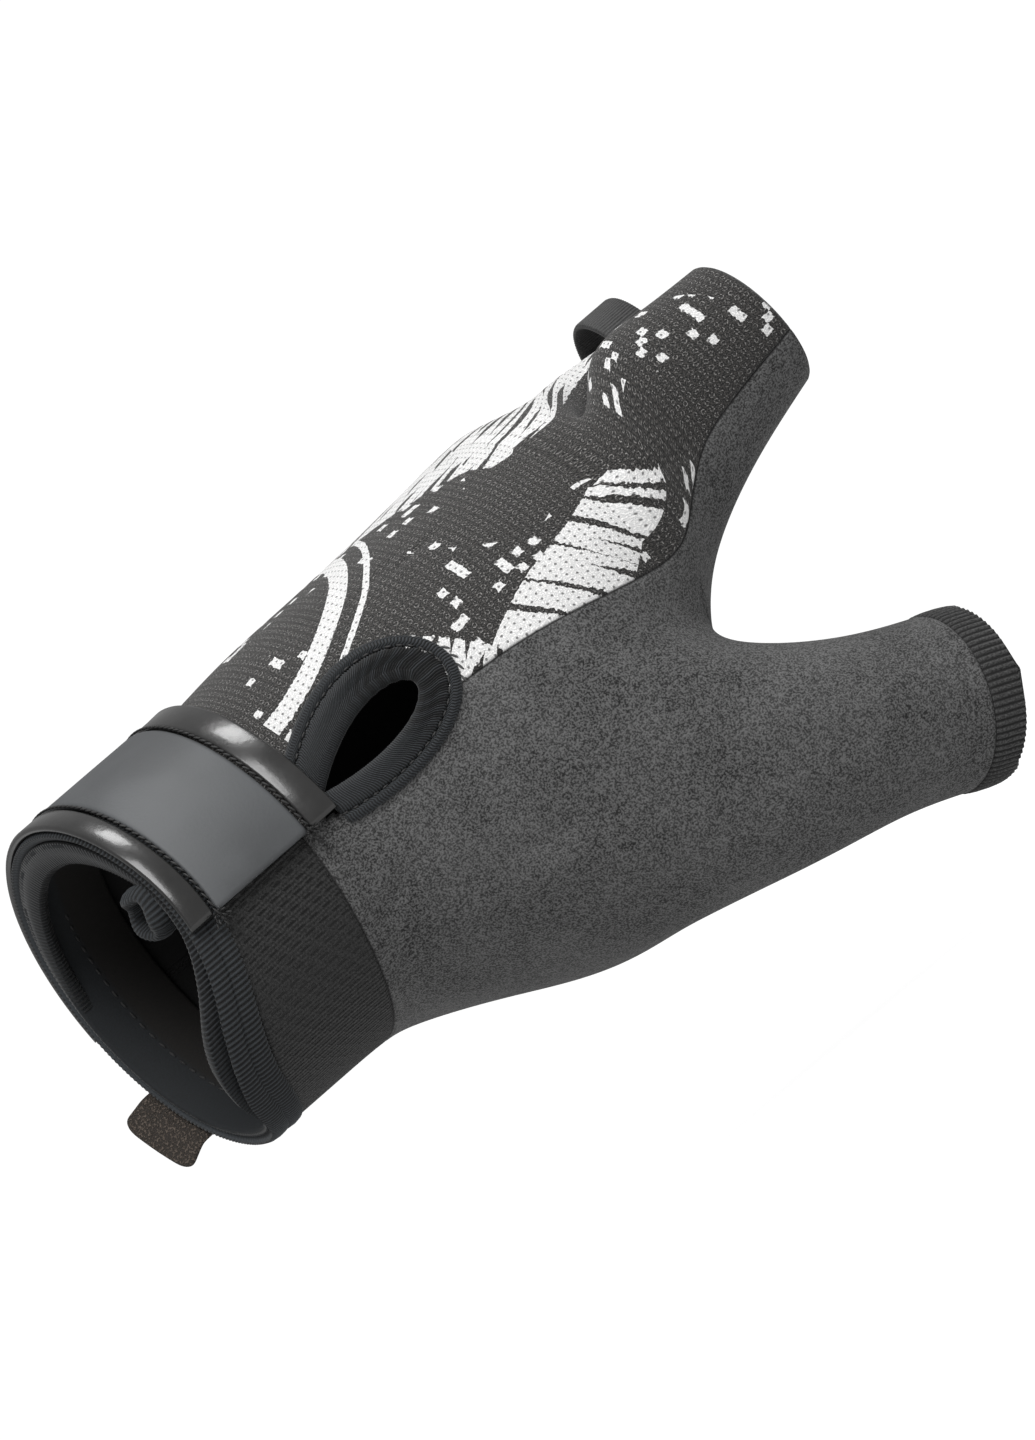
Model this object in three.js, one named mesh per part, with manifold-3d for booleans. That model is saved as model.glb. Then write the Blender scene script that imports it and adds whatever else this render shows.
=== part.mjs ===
// A left-hand fingerless training glove, filled out as if it were worn.
// +X runs from the wrist to the fingers, +Y to the little finger, +Z out of the back of the hand.
// The origin is the centre of the wrist opening. All lengths are millimetres.

import * as THREE from 'three';
import Module from 'manifold-3d';
import { mergeVertices } from 'three/addons/utils/BufferGeometryUtils.js';

// Driving sizes of the hand that the glove is cut for
const WRIST_WIDTH = 66;
const WRIST_DEPTH = 60;
const RIM_SLANT = 2.4;
const RIM_DROP = 8.5;
const RIM_DROP_AT = 318;
const RIM_DROP_SPREAD = 34;
const PALM_WIDTH = 92;
const PALM_LENGTH = 76;
const FINGER_LENGTH = 36;
const FINGER_DEPTH = 24;
const FINGER_GRIP = 6;
const FINGER_SLANT = 1.3;
const FINGER_PALM_SWELL = 0.12;
const WEB_SET_BACK = 3;
const THUMB_LENGTH = 52;
const THUMB_WIDTH = 29.4;
const THUMB_DEPTH = 26;
const THENAR_AT = 300;
const THENAR_SPREAD = 40;

// Cloth, tape and trim
const KNIT_WALL = 1.4;
const SUEDE_WALL = 1.4;
const SEAM_GAP = 0.3;
const TRIM_WIDTH = 5;
const STRAP_WIDTH = 20;
const STRAP_THICKNESS = 1.6;
const TRIM_THICKNESS = 1.9;
const BINDING_SWELL = 0.4;
const FACING_THICKNESS = 0.9;
const HEM_SWELL = 0.5;
const HEM_WIDTH = 4;
const HEM_SLANT = 4;

// Vent beside the thumb
const VENT_LENGTH = 25;
const VENT_WIDTH = 9;
const VENT_BAND = 6;
const VENT_BAND_SWELL = 1.1;
const VENT_TILT = 12;
const VENT_HEIGHT = 8;
const VENT_FULLNESS = 0.62;
const VENT_POINT = 0.8;

// Webbing loop
const LOOP_WIDTH = 7.5;
const LOOP_SPAN = 23;
const LOOP_RISE = 6.1;
const LOOP_SINK = 11;
const LOOP_THICKNESS = 1.1;
const LOOP_SET_BACK = 8.9;

// Hook tab
const TAB_WIDTH = 14;
const TAB_SEAT = 8.5;
const TAB_REACH = 5.2;
const TAB_FLARE = 3;
const TAB_THICKNESS = 1.3;
const TAB_TURN = 35.5;
const TAB_COLUMNS = 6;

// Gathered fold of the slit's tape
const FOLD_RADIUS = 5.2;
const FOLD_THICKNESS = 2.4;
const FOLD_WIDTH = 6;
const FOLD_OUT = 2;
const FOLD_HEIGHT = 8;
const FOLD_SEAT = 1.6;

// Fineness of the shapes, and a length beyond the whole glove
const COLUMNS = 20;
const CURVE_STEPS = 24;
const VENT_STEPS = 28;
const FOLD_STEPS = 8;
const SMALL_TURN = 0.01;
const FAR = 200;
const DEGREE = Math.PI / 180;

const wasm = await Module();
wasm.setup();

// Sections of the hand from the wrist opening to the finger webs.
// at: share of PALM_LENGTH past the strap. spread: 0 is wrist width and 1 is palm width.
// top and bottom: shares of WRIST_DEPTH. seam: degrees of the thumb-side seam above the side of the hand.
// thenar: share by which the ball of the thumb swells the section.
const STRAP_SECTION = { spread: 0, top: 0.512, bottom: -0.515, shift: 0, seam: 6, thenar: 0 };
const PALM_SECTIONS = [
  { at: 0.00, spread: 0.02, top: 0.508, bottom: -0.53, shift: 0.00, seam: 7, thenar: 0.02 },
  { at: 0.19, spread: 0.28, top: 0.540, bottom: -0.57, shift: 0.00, seam: 10, thenar: 0.24 },
  { at: 0.40, spread: 0.62, top: 0.540, bottom: -0.62, shift: 0.00, seam: 12, thenar: 0.48 },
  { at: 0.64, spread: 0.85, top: 0.555, bottom: -0.585, shift: 0.01, seam: 5, thenar: 0.50 },
  { at: 0.90, spread: 0.97, top: 0.585, bottom: -0.39, shift: 0.02, seam: -19, thenar: 0.10 },
  { at: 1.00, spread: 1.00, top: 0.575, bottom: -0.262, shift: 0.02, seam: -25, thenar: 0.00 },
];

// Rows and columns of the rings that each branch or cloth takes
const THUMB_ROWS = [6, 8];
const THUMB_COLUMNS = [16, 19];
const CUFF_END_ROW = 3;
const WEB_COLUMNS = [3, 5, 7];

// Fingers from the thumb side. across: middle of the finger as a share of PALM_WIDTH from the centre.
// length: share of FINGER_LENGTH. width and depth: shares of FINGER_DEPTH.
// root and end: height as a share of WRIST_DEPTH.
const FINGERS = [
  { name: 'index', across: -0.345, length: 0.944, width: 0.92, depth: 1, root: 0.24, end: 0.303, twist: -24 },
  { name: 'middle', across: -0.095, length: 1.000, width: 0.90, depth: 1.00, root: 0.24, end: 0.300, twist: 0 },
  { name: 'ring', across: 0.150, length: 0.889, width: 0.86, depth: 0.94, root: 0.22, end: 0.240, twist: 0 },
  { name: 'little', across: 0.375, length: 0.722, width: 0.80, depth: 0.86, root: 0.15, end: 0.140, twist: 0 },
];
const FINGER_RINGS = [
  { along: 0.26, width: 0.97, depth: 1.40, turn: 0.9 },
  { along: 0.60, width: 0.98, depth: 1.16, turn: 1 },
  { along: 1.00, width: 1.00, depth: 1.00, turn: 1 },
];

// Rings of the thumb. along: share of THUMB_LENGTH. width and depth: shares of the thumb's own sizes.
const THUMB_ROOT = new THREE.Vector3(0.604, -0.44, -0.53);
const THUMB_HEADING = new THREE.Vector3(0.90, 0.05, -0.355).normalize();
const THUMB_RINGS = [
  { along: 0.36, width: 1.22, depth: 1.12 },
  { along: 0.66, width: 1.00, depth: 1.02 },
  { along: 1 - HEM_WIDTH / THUMB_LENGTH, width: 1.00, depth: 1.00 },
  { along: 1.00, width: 1.00, depth: 1.00 },
];

// Rows of the hook tab. seat: share of TAB_SEAT inside the rim. reach: share of TAB_REACH outside it.
// flare: share of TAB_FLARE outwards. width: share of TAB_WIDTH.
const TAB_ROWS = [
  { seat: 1.0, reach: 0.00, flare: 0.00, width: 1.00 },
  { seat: 0.5, reach: 0.00, flare: 0.00, width: 1.00 },
  { seat: 0.0, reach: 0.14, flare: 0.00, width: 1.00 },
  { seat: 0.0, reach: 0.34, flare: 0.14, width: 1.00 },
  { seat: 0.0, reach: 0.66, flare: 0.56, width: 1.00 },
  { seat: 0.0, reach: 0.92, flare: 0.90, width: 0.98 },
  { seat: 0.0, reach: 1.00, flare: 1.00, width: 0.84 },
];

// A ring of control points draws in when it is rounded, and this brings it back to size.
const ringSwell = (sides) => 6 / (4 + 2 * Math.cos((2 * Math.PI) / sides));

const strapEnd = 2 * TRIM_WIDTH + STRAP_WIDTH;
const stations = [0, TRIM_WIDTH, TRIM_WIDTH + STRAP_WIDTH / 2, TRIM_WIDTH + STRAP_WIDTH];
const sections = [
  ...stations.map((x) => ({ x, ...STRAP_SECTION })),
  ...PALM_SECTIONS.map((row) => ({ x: strapEnd + row.at * PALM_LENGTH, ...row })),
];
const lastRow = sections.length - 1;

// The rim of the opening reaches further from the hand on the far side, and most below the strap's near end.
function rimSlant(angle, x) {
  const away = ((((angle / DEGREE - RIM_DROP_AT + 540) % 360) + 360) % 360) - 180;
  const drop = RIM_DROP * Math.exp(-((away / RIM_DROP_SPREAD) ** 2));
  return (RIM_SLANT * ((1 - Math.cos(angle)) / 2) + drop) * Math.max(0, 1 - x / strapEnd);
}

function sectionPoint(row, column) {
  const swell = ringSwell(COLUMNS);
  const half = COLUMNS / 2;
  const degrees = column <= half
    ? row.seam + ((180 - row.seam) * column) / half
    : 180 + ((180 + row.seam) * (column - half)) / half;
  const angle = degrees * DEGREE;
  const halfWidth = THREE.MathUtils.lerp(WRIST_WIDTH, PALM_WIDTH, row.spread) / 2;
  const middle = ((row.top + row.bottom) / 2) * WRIST_DEPTH;
  const halfDepth = ((row.top - row.bottom) / 2) * WRIST_DEPTH;
  const fromThumbBall = Math.abs(((degrees - THENAR_AT + 540) % 360) - 180);
  const ball = 1 + row.thenar * Math.exp(-((fromThumbBall / THENAR_SPREAD) ** 2));
  return new THREE.Vector3(
    row.x - rimSlant(angle, row.x),
    row.shift * PALM_WIDTH - halfWidth * Math.cos(angle) * swell * ball,
    middle + halfDepth * Math.sin(angle) * swell * ball,
  );
}

// The control cage of the whole hand: points, and four-sided faces that carry the name of their cloth.
function makeCage() {
  const points = [];
  const faces = [];
  const add = (point) => points.push(point) - 1;
  const grid = sections.map((row) => (
    Array.from({ length: COLUMNS }, (_, column) => add(sectionPoint(row, column)))
  ));
  const tube = (loop, ring, cloth, row, owner) => {
    loop.forEach((corner, j) => {
      const next = (j + 1) % loop.length;
      const corners = [corner, ring[j], ring[next], loop[next]];
      faces.push({ corners, cloth: cloth(j), row, column: j, owner });
    });
    return ring;
  };

  for (let row = 0; row < lastRow; row += 1) {
    for (let column = 0; column < COLUMNS; column += 1) {
      const inThumb = row >= THUMB_ROWS[0] && row < THUMB_ROWS[1]
        && column >= THUMB_COLUMNS[0] && column < THUMB_COLUMNS[1];
      if (inThumb) continue;
      const next = (column + 1) % COLUMNS;
      const onBack = column < COLUMNS / 2;
      const palmCloth = row < CUFF_END_ROW ? 'cuff_panel' : 'palm_panel';
      const cloth = row === 0 ? 'wrist_binding' : onBack ? 'back_panel' : palmCloth;
      const corners = [grid[row][column], grid[row + 1][column], grid[row + 1][next], grid[row][next]];
      faces.push({ corners, cloth, row, column, owner: 'hand' });
    }
  }

  const [firstThumbRow, lastThumbRow] = THUMB_ROWS;
  const [lowColumn, highColumn] = THUMB_COLUMNS;
  let loop = [];
  for (let row = firstThumbRow; row < lastThumbRow; row += 1) loop.push(grid[row][highColumn]);
  for (let column = highColumn; column > lowColumn; column -= 1) loop.push(grid[lastThumbRow][column]);
  for (let row = lastThumbRow; row > firstThumbRow; row -= 1) loop.push(grid[row][lowColumn]);
  for (let column = lowColumn; column < highColumn; column += 1) loop.push(grid[firstThumbRow][column]);
  const thumbStart = new THREE.Vector3(
    strapEnd + THUMB_ROOT.x * PALM_LENGTH,
    THUMB_ROOT.y * PALM_WIDTH,
    THUMB_ROOT.z * WRIST_DEPTH,
  );
  const near = new THREE.Vector3(0, -1, 0).addScaledVector(THUMB_HEADING, THUMB_HEADING.y).normalize();
  const up = new THREE.Vector3().crossVectors(near, THUMB_HEADING).normalize();
  if (up.z < 0) up.negate();
  THUMB_RINGS.forEach((ring, index) => {
    const sides = loop.length;
    const ids = loop.map((_, j) => {
      const angle = (0.5 + j) * ((2 * Math.PI) / sides);
      const slant = HEM_SLANT * ring.along * Math.cos(angle);
      const point = thumbStart.clone().addScaledVector(THUMB_HEADING, ring.along * THUMB_LENGTH + slant);
      point.addScaledVector(near, (THUMB_DEPTH / 2) * ring.depth * ringSwell(sides) * Math.cos(angle));
      point.addScaledVector(up, (THUMB_WIDTH / 2) * ring.width * ringSwell(sides) * Math.sin(angle));
      return add(point);
    });
    const cloth = index === THUMB_RINGS.length - 1 ? 'thumb_hem' : 'palm_panel';
    loop = tube(loop, ids, () => cloth, index);
  });

  const knuckles = grid[lastRow];
  const webs = WEB_COLUMNS.map((column) => {
    const middle = points[knuckles[column]].clone().add(points[knuckles[COLUMNS - column]]).multiplyScalar(0.5);
    middle.x -= WEB_SET_BACK;
    return add(middle);
  });
  const at = (...columns) => columns.map((column) => knuckles[column % COLUMNS]);
  const roots = [
    [...at(0, 1, 2, 3), webs[0], ...at(17, 18, 19)],
    [webs[0], ...at(3, 4, 5), webs[1], ...at(15, 16, 17)],
    [webs[1], ...at(5, 6, 7), webs[2], ...at(13, 14, 15)],
    [webs[2], ...at(7, 8, 9, 10, 11, 12, 13)],
  ];
  FINGERS.forEach((finger, f) => {
    let ringBefore = roots[f];
    FINGER_RINGS.forEach((ring, index) => {
      const ringSides = ringBefore.length;
      const radius = (FINGER_DEPTH / 2) * ringSwell(ringSides);
      const height = THREE.MathUtils.lerp(finger.root, finger.end, ring.along) * WRIST_DEPTH;
      const ids = ringBefore.map((_, j) => {
        const angle = j * ((2 * Math.PI) / ringSides) + finger.twist * ring.turn * DEGREE;
        const reach = finger.length * FINGER_LENGTH - FINGER_SLANT * Math.sin(angle);
        const swell = Math.sin(angle) < 0 ? 1 + FINGER_PALM_SWELL : 1;
        return add(new THREE.Vector3(
          strapEnd + PALM_LENGTH + ring.along * reach,
          finger.across * PALM_WIDTH - radius * finger.width * ring.width * Math.cos(angle),
          height + radius * finger.depth * ring.depth * swell * Math.sin(angle),
        ));
      });
      const sideCloth = (j) => (j < ringSides / 2 ? 'back_panel' : 'palm_panel');
      ringBefore = tube(ringBefore, ids, sideCloth, index, finger.name);
    });
  });
  return { points, faces };
}

// One round of Catmull and Clark's rule, which rounds the cage.
function refine({ points, faces }) {
  const mean = (ids) => ids.reduce((sum, id) => sum.add(points[id]), new THREE.Vector3())
    .divideScalar(ids.length);
  const centres = faces.map((face) => mean(face.corners));
  const edges = new Map();
  const keyOf = (a, b) => (a < b ? `${a} ${b}` : `${b} ${a}`);
  faces.forEach((face, f) => face.corners.forEach((a, j) => {
    const b = face.corners[(j + 1) % 4];
    const key = keyOf(a, b);
    if (!edges.has(key)) edges.set(key, { ends: [a, b], sides: [] });
    edges.get(key).sides.push(f);
  }));
  const fans = points.map(() => ({ sides: [], edges: [] }));
  faces.forEach((face, f) => face.corners.forEach((id) => fans[id].sides.push(f)));
  edges.forEach((edge) => edge.ends.forEach((id) => fans[id].edges.push(edge)));

  const out = points.map((point, id) => {
    const fan = fans[id];
    const rim = fan.edges.filter((edge) => edge.sides.length === 1);
    if (rim.length) {
      const sum = point.clone().multiplyScalar(6);
      rim.forEach((edge) => sum.add(points[edge.ends[0] === id ? edge.ends[1] : edge.ends[0]]));
      return sum.divideScalar(8);
    }
    const n = fan.edges.length;
    const sum = point.clone().multiplyScalar(n - 3);
    fan.sides.forEach((f) => sum.addScaledVector(centres[f], 1 / n));
    fan.edges.forEach((edge) => sum.addScaledVector(mean(edge.ends), 2 / n));
    return sum.divideScalar(n);
  });
  const centreIds = centres.map((centre) => out.push(centre) - 1);
  edges.forEach((edge) => {
    const point = mean(edge.ends);
    if (edge.sides.length === 2) {
      point.add(centres[edge.sides[0]].clone().add(centres[edge.sides[1]]).multiplyScalar(0.5));
      point.multiplyScalar(0.5);
    }
    edge.id = out.push(point) - 1;
  });
  const finer = faces.flatMap((face, f) => face.corners.map((id, j) => {
    const before = face.corners[(j + 3) % 4];
    const after = face.corners[(j + 1) % 4];
    const corners = [id, edges.get(keyOf(id, after)).id, centreIds[f], edges.get(keyOf(before, id)).id];
    return { ...face, corners };
  }));
  return { points: out, faces: finer };
}

// Moves each point of a rounded cage onto the smooth surface that endless rounding would reach.
function settle({ points, faces }) {
  const edgeCount = new Map();
  faces.forEach((face) => face.corners.forEach((a, j) => {
    const b = face.corners[(j + 1) % 4];
    const key = a < b ? `${a} ${b}` : `${b} ${a}`;
    edgeCount.set(key, (edgeCount.get(key) ?? 0) + 1);
  }));
  const beside = points.map(() => new Set());
  const rim = points.map(() => []);
  edgeCount.forEach((count, key) => {
    const [a, b] = key.split(' ').map(Number);
    beside[a].add(b);
    beside[b].add(a);
    if (count === 1) {
      rim[a].push(b);
      rim[b].push(a);
    }
  });
  const across = points.map(() => []);
  faces.forEach((face) => face.corners.forEach((id, j) => across[id].push(face.corners[(j + 2) % 4])));
  const settled = points.map((point, id) => {
    if (rim[id].length) {
      const sum = point.clone().multiplyScalar(4);
      rim[id].forEach((other) => sum.add(points[other]));
      return sum.divideScalar(6);
    }
    const n = beside[id].size;
    const sum = point.clone().multiplyScalar(n * n);
    beside[id].forEach((other) => sum.addScaledVector(points[other], 4));
    across[id].forEach((other) => sum.add(points[other]));
    return sum.divideScalar(n * (n + 5));
  });
  return { points: settled, faces };
}

function pointNormals({ points, faces }) {
  const normals = points.map(() => new THREE.Vector3());
  faces.forEach(({ corners }) => {
    const [a, b, c, d] = corners.map((id) => points[id]);
    const normal = c.clone().sub(a).cross(d.clone().sub(b));
    corners.forEach((id) => normals[id].add(normal));
  });
  return normals.map((normal) => normal.normalize());
}

function geometryOf(points, triangles) {
  const geometry = new THREE.BufferGeometry();
  geometry.setAttribute('position', new THREE.Float32BufferAttribute(points.flatMap((p) => p.toArray()), 3));
  geometry.setIndex(triangles.flat());
  return geometry;
}

// A closed piece of cloth: the chosen faces, from the height outer down to the height inner over the
// surface, drawn in by half a seam gap along its edge.
function clothPiece(surface, faces, outer, inner) {
  const ids = [...new Set(faces.flatMap((face) => face.corners))];
  const rim = new Map();
  faces.forEach((face) => face.corners.forEach((a, j) => {
    const b = face.corners[(j + 1) % 4];
    if (rim.has(`${b} ${a}`)) rim.delete(`${b} ${a}`);
    else rim.set(`${a} ${b}`, [a, b]);
  }));
  const pull = new Map();
  rim.forEach(([a, b]) => {
    const along = surface.points[b].clone().sub(surface.points[a]).normalize();
    const normal = surface.normals[a].clone().add(surface.normals[b]).normalize();
    const inward = normal.cross(along).normalize();
    [a, b].forEach((id) => pull.set(id, (pull.get(id) ?? new THREE.Vector3()).add(inward)));
  });
  const heightOf = (height, id) => (typeof height === 'function' ? height(surface.points[id]) : height);
  const layer = (height) => ids.map((id) => {
    const point = surface.points[id].clone().addScaledVector(surface.normals[id], heightOf(height, id));
    if (pull.has(id)) {
      const inward = pull.get(id).clone();
      const spread = Math.max(inward.length(), 1);
      point.addScaledVector(inward.normalize(), (SEAM_GAP / 2) * (2 / spread));
    }
    return point;
  });
  const points = [...layer(outer), ...layer(inner)];
  const place = new Map(ids.map((id, index) => [id, index]));
  const under = ids.length;
  const triangles = [];
  faces.forEach(({ corners }) => {
    const [a, b, c, d] = corners.map((id) => place.get(id));
    triangles.push([a, b, c], [a, c, d], [under + a, under + c, under + b], [under + a, under + d, under + c]);
  });
  rim.forEach(([a, b]) => {
    const [p, q] = [place.get(a), place.get(b)];
    triangles.push([p, under + p, under + q], [p, under + q, q]);
  });
  return geometryOf(points, triangles);
}

const cage = makeCage();
const surface = settle(refine(cage));
surface.normals = pointNormals(surface);

function solidOf(geometry) {
  const bare = geometry.clone();
  bare.deleteAttribute('normal');
  bare.deleteAttribute('uv');
  const merged = mergeVertices(bare, 1e-5);
  return new wasm.Manifold(new wasm.Mesh({
    numProp: 3,
    vertProperties: new Float32Array(merged.attributes.position.array),
    triVerts: new Uint32Array(merged.index.array),
  }));
}

function geometryOfSolid(solid) {
  const mesh = solid.getMesh();
  const geometry = new THREE.BufferGeometry();
  geometry.setAttribute('position', new THREE.Float32BufferAttribute(mesh.vertProperties, 3));
  geometry.setIndex(Array.from(mesh.triVerts));
  return geometry;
}

const cut = (geometry, ...tools) => geometryOfSolid(tools.reduce(
  (solid, tool) => solid.subtract(solidOf(tool)),
  solidOf(geometry),
));
const keep = (geometry, tool) => geometryOfSolid(solidOf(geometry).intersect(solidOf(tool)));

const facesOf = (cloth) => surface.faces.filter((face) => face.cloth === cloth);
const wristPatch = (rows, columns) => surface.faces.filter((face) => (
  face.owner === 'hand' && face.row >= rows[0] && face.row < rows[1]
  && face.column >= columns[0] && face.column < columns[1]
));

const FINISHES = {
  back_panel: { color: 0x8a8886, roughness: 0.85 },
  palm_panel: { color: 0x4b4b4c, roughness: 0.95 },
  thumb_hem: { color: 0x3d3d3e, roughness: 0.8 },
  cuff_panel: { color: 0x37393a, roughness: 0.9 },
  wrist_binding: { color: 0x3a3c40, roughness: 0.85 },
  wrist_facing: { color: 0x26262f, roughness: 0.7 },
  wrist_strap: { color: 0x58585b, roughness: 0.55 },
  strap_trim_wrist: { color: 0x303033, roughness: 0.15 },
  strap_trim_hand: { color: 0x303033, roughness: 0.15 },
  keyhole_binding: { color: 0x3a3c40, roughness: 0.85 },
  slit_binding: { color: 0x3a3c40, roughness: 0.85 },
  closure_tab: { color: 0x3c3429, roughness: 0.8 },
  pull_loop: { color: 0x1b1b1c, roughness: 0.6 },
};

const glove = new THREE.Group();
function addPiece(name, geometry) {
  const material = new THREE.MeshStandardMaterial({ metalness: 0, ...FINISHES[name] });
  const mesh = new THREE.Mesh(geometry, material);
  mesh.name = name;
  glove.add(mesh);
}

// The part of the surface round the vent, on both sides of the thumb-side seam
const ventFaces = wristPatch([4, 7], [0, 5]).concat(wristPatch([4, 7], [18, COLUMNS]));

// A teardrop in the plane of X and Z, with its point at the strap and its round end to the fingers.
function teardrop(grow) {
  const at = (turn) => new THREE.Vector2(
    (-VENT_LENGTH / 2) * Math.cos(turn),
    VENT_FULLNESS * VENT_WIDTH * Math.sin(turn) * Math.sin(turn / 2) ** VENT_POINT,
  );
  const outline = Array.from({ length: VENT_STEPS }, (_, k) => {
    const turn = ((k + 0.5) * 2 * Math.PI) / VENT_STEPS;
    const along = at(turn + SMALL_TURN).sub(at(turn - SMALL_TURN)).normalize();
    return at(turn).add(new THREE.Vector2(-along.y, along.x).multiplyScalar(grow));
  });
  return new THREE.Shape(outline);
}

function ventPrism(grow) {
  const prism = new THREE.ExtrudeGeometry(teardrop(grow), { depth: PALM_WIDTH, bevelEnabled: false });
  prism.rotateZ(VENT_TILT * DEGREE);
  prism.rotateX(Math.PI / 2);
  return prism.translate(strapEnd + VENT_LENGTH / 2, 0, VENT_HEIGHT);
}

function boxBetween(low, high) {
  const size = high.clone().sub(low);
  const middle = low.clone().add(high).multiplyScalar(0.5);
  return new THREE.BoxGeometry(size.x, size.y, size.z).translate(middle.x, middle.y, middle.z);
}
const beyondStrap = (start) => (
  boxBetween(new THREE.Vector3(start, -FAR, -FAR), new THREE.Vector3(FAR, FAR, FAR))
);

const ventOutside = keep(ventPrism(VENT_BAND + SEAM_GAP), beyondStrap(strapEnd));

// Cloth panels
addPiece('back_panel', cut(clothPiece(surface, facesOf('back_panel'), 0, -KNIT_WALL), ventOutside));
addPiece('palm_panel', cut(clothPiece(surface, facesOf('palm_panel'), 0, -SUEDE_WALL), ventOutside));
addPiece('cuff_panel', clothPiece(surface, facesOf('cuff_panel'), 0, -KNIT_WALL));
addPiece('thumb_hem', clothPiece(surface, facesOf('thumb_hem'), HEM_SWELL, -SUEDE_WALL));

// Rolled tape round the vent
const ventShell = clothPiece(surface, ventFaces, VENT_BAND_SWELL, -KNIT_WALL - VENT_BAND_SWELL);
const ventBand = keep(keep(ventShell, ventPrism(VENT_BAND)), beyondStrap(strapEnd + SEAM_GAP));
addPiece('keyhole_binding', cut(ventBand, ventPrism(0)));

// Tape and facing of the wrist opening
addPiece('wrist_binding', clothPiece(surface, facesOf('wrist_binding'), BINDING_SWELL, -KNIT_WALL));
const facingTop = -KNIT_WALL - SEAM_GAP;
const facingBottom = facingTop - FACING_THICKNESS;
const tabInset = SEAM_GAP - facingBottom;
addPiece('wrist_facing', clothPiece(surface, wristPatch([0, 2], [0, COLUMNS]), facingTop, facingBottom));

// The strap lies over the back of the wrist, from the thumb-side seam to the far side
const strapBase = BINDING_SWELL + SEAM_GAP;
const overBack = [0, COLUMNS / 2];
const overWrist = (rows, thickness) => (
  clothPiece(surface, wristPatch(rows, overBack), strapBase + thickness, strapBase)
);
addPiece('strap_trim_wrist', overWrist([0, 1], TRIM_THICKNESS));
addPiece('wrist_strap', overWrist([1, 3], STRAP_THICKNESS));
addPiece('strap_trim_hand', overWrist([3, 4], TRIM_THICKNESS));

// Webbing loop that stands across the middle finger
function pullLoop() {
  const finger = FINGERS.find(({ name }) => name === 'middle');
  const across = finger.across * PALM_WIDTH;
  const along = strapEnd + PALM_LENGTH + finger.length * FINGER_LENGTH - LOOP_SET_BACK - LOOP_WIDTH;
  const fingerTop = finger.end * WRIST_DEPTH + (FINGER_DEPTH / 2) * finger.depth;
  const arch = new THREE.Shape();
  arch.absellipse(0, 0, LOOP_SPAN / 2, LOOP_RISE + LOOP_SINK, 0, Math.PI, false);
  const inner = new THREE.EllipseCurve(
    0, 0, LOOP_SPAN / 2 - LOOP_THICKNESS, LOOP_RISE + LOOP_SINK - LOOP_THICKNESS, Math.PI, 0, true,
  );
  inner.getPoints(CURVE_STEPS).forEach((point) => arch.lineTo(point.x, point.y));
  const settings = { depth: LOOP_WIDTH, bevelEnabled: false, curveSegments: CURVE_STEPS };
  const band = new THREE.ExtrudeGeometry(arch, settings);
  band.rotateX(Math.PI / 2);
  band.rotateZ(Math.PI / 2);
  band.translate(along, across, fingerTop - LOOP_SINK);
  const nearFaces = surface.faces.filter(({ owner }) => owner === 'middle');
  return cut(band, clothPiece(surface, nearFaces, SEAM_GAP, -FINGER_GRIP));
}
addPiece('pull_loop', pullLoop());

// The hook tab lies over the cuff on the far side, and the gathered fold inside the opening
function openingSlice(inset) {
  const outline = new THREE.Shape();
  const middle = ((STRAP_SECTION.top + STRAP_SECTION.bottom) / 2) * WRIST_DEPTH;
  const halfDepth = ((STRAP_SECTION.top - STRAP_SECTION.bottom) / 2) * WRIST_DEPTH;
  outline.absellipse(0, middle, WRIST_WIDTH / 2 - inset, halfDepth - inset, 0, 2 * Math.PI);
  const settings = { depth: FAR, bevelEnabled: false, curveSegments: CURVE_STEPS };
  const slice = new THREE.ExtrudeGeometry(outline, settings);
  return slice.rotateX(Math.PI / 2).rotateZ(Math.PI / 2).translate(-FAR / 2, 0, 0);
}

function closureTab() {
  const middle = ((STRAP_SECTION.top + STRAP_SECTION.bottom) / 2) * WRIST_DEPTH;
  const halfDepth = ((STRAP_SECTION.top - STRAP_SECTION.bottom) / 2) * WRIST_DEPTH;
  const points = TAB_ROWS.flatMap((row) => (
    Array.from({ length: TAB_COLUMNS + 1 }, (_, column) => {
      const across = (column / TAB_COLUMNS - 0.5) * TAB_WIDTH * row.width;
      const turn = TAB_TURN * DEGREE + across / halfDepth;
      const out = strapBase + row.flare * TAB_FLARE;
      const along = row.seat * TAB_SEAT - row.reach * TAB_REACH;
      return new THREE.Vector3(
        along - rimSlant(Math.PI + turn, along),
        (WRIST_WIDTH / 2 + out) * Math.cos(turn),
        middle - (halfDepth + out) * Math.sin(turn),
      );
    })
  ));
  const faces = [];
  for (let row = 0; row < TAB_ROWS.length - 1; row += 1) {
    for (let column = 0; column < TAB_COLUMNS; column += 1) {
      const first = row * (TAB_COLUMNS + 1) + column;
      const next = first + TAB_COLUMNS + 1;
      faces.push({ corners: [first, next, next + 1, first + 1] });
    }
  }
  const sheet = { points, faces, normals: pointNormals({ points, faces }) };
  const inside = sheet.normals[0].y < 0;
  return inside ? clothPiece(sheet, faces, 0, -TAB_THICKNESS) : clothPiece(sheet, faces, TAB_THICKNESS, 0);
}
addPiece('closure_tab', closureTab());

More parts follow.
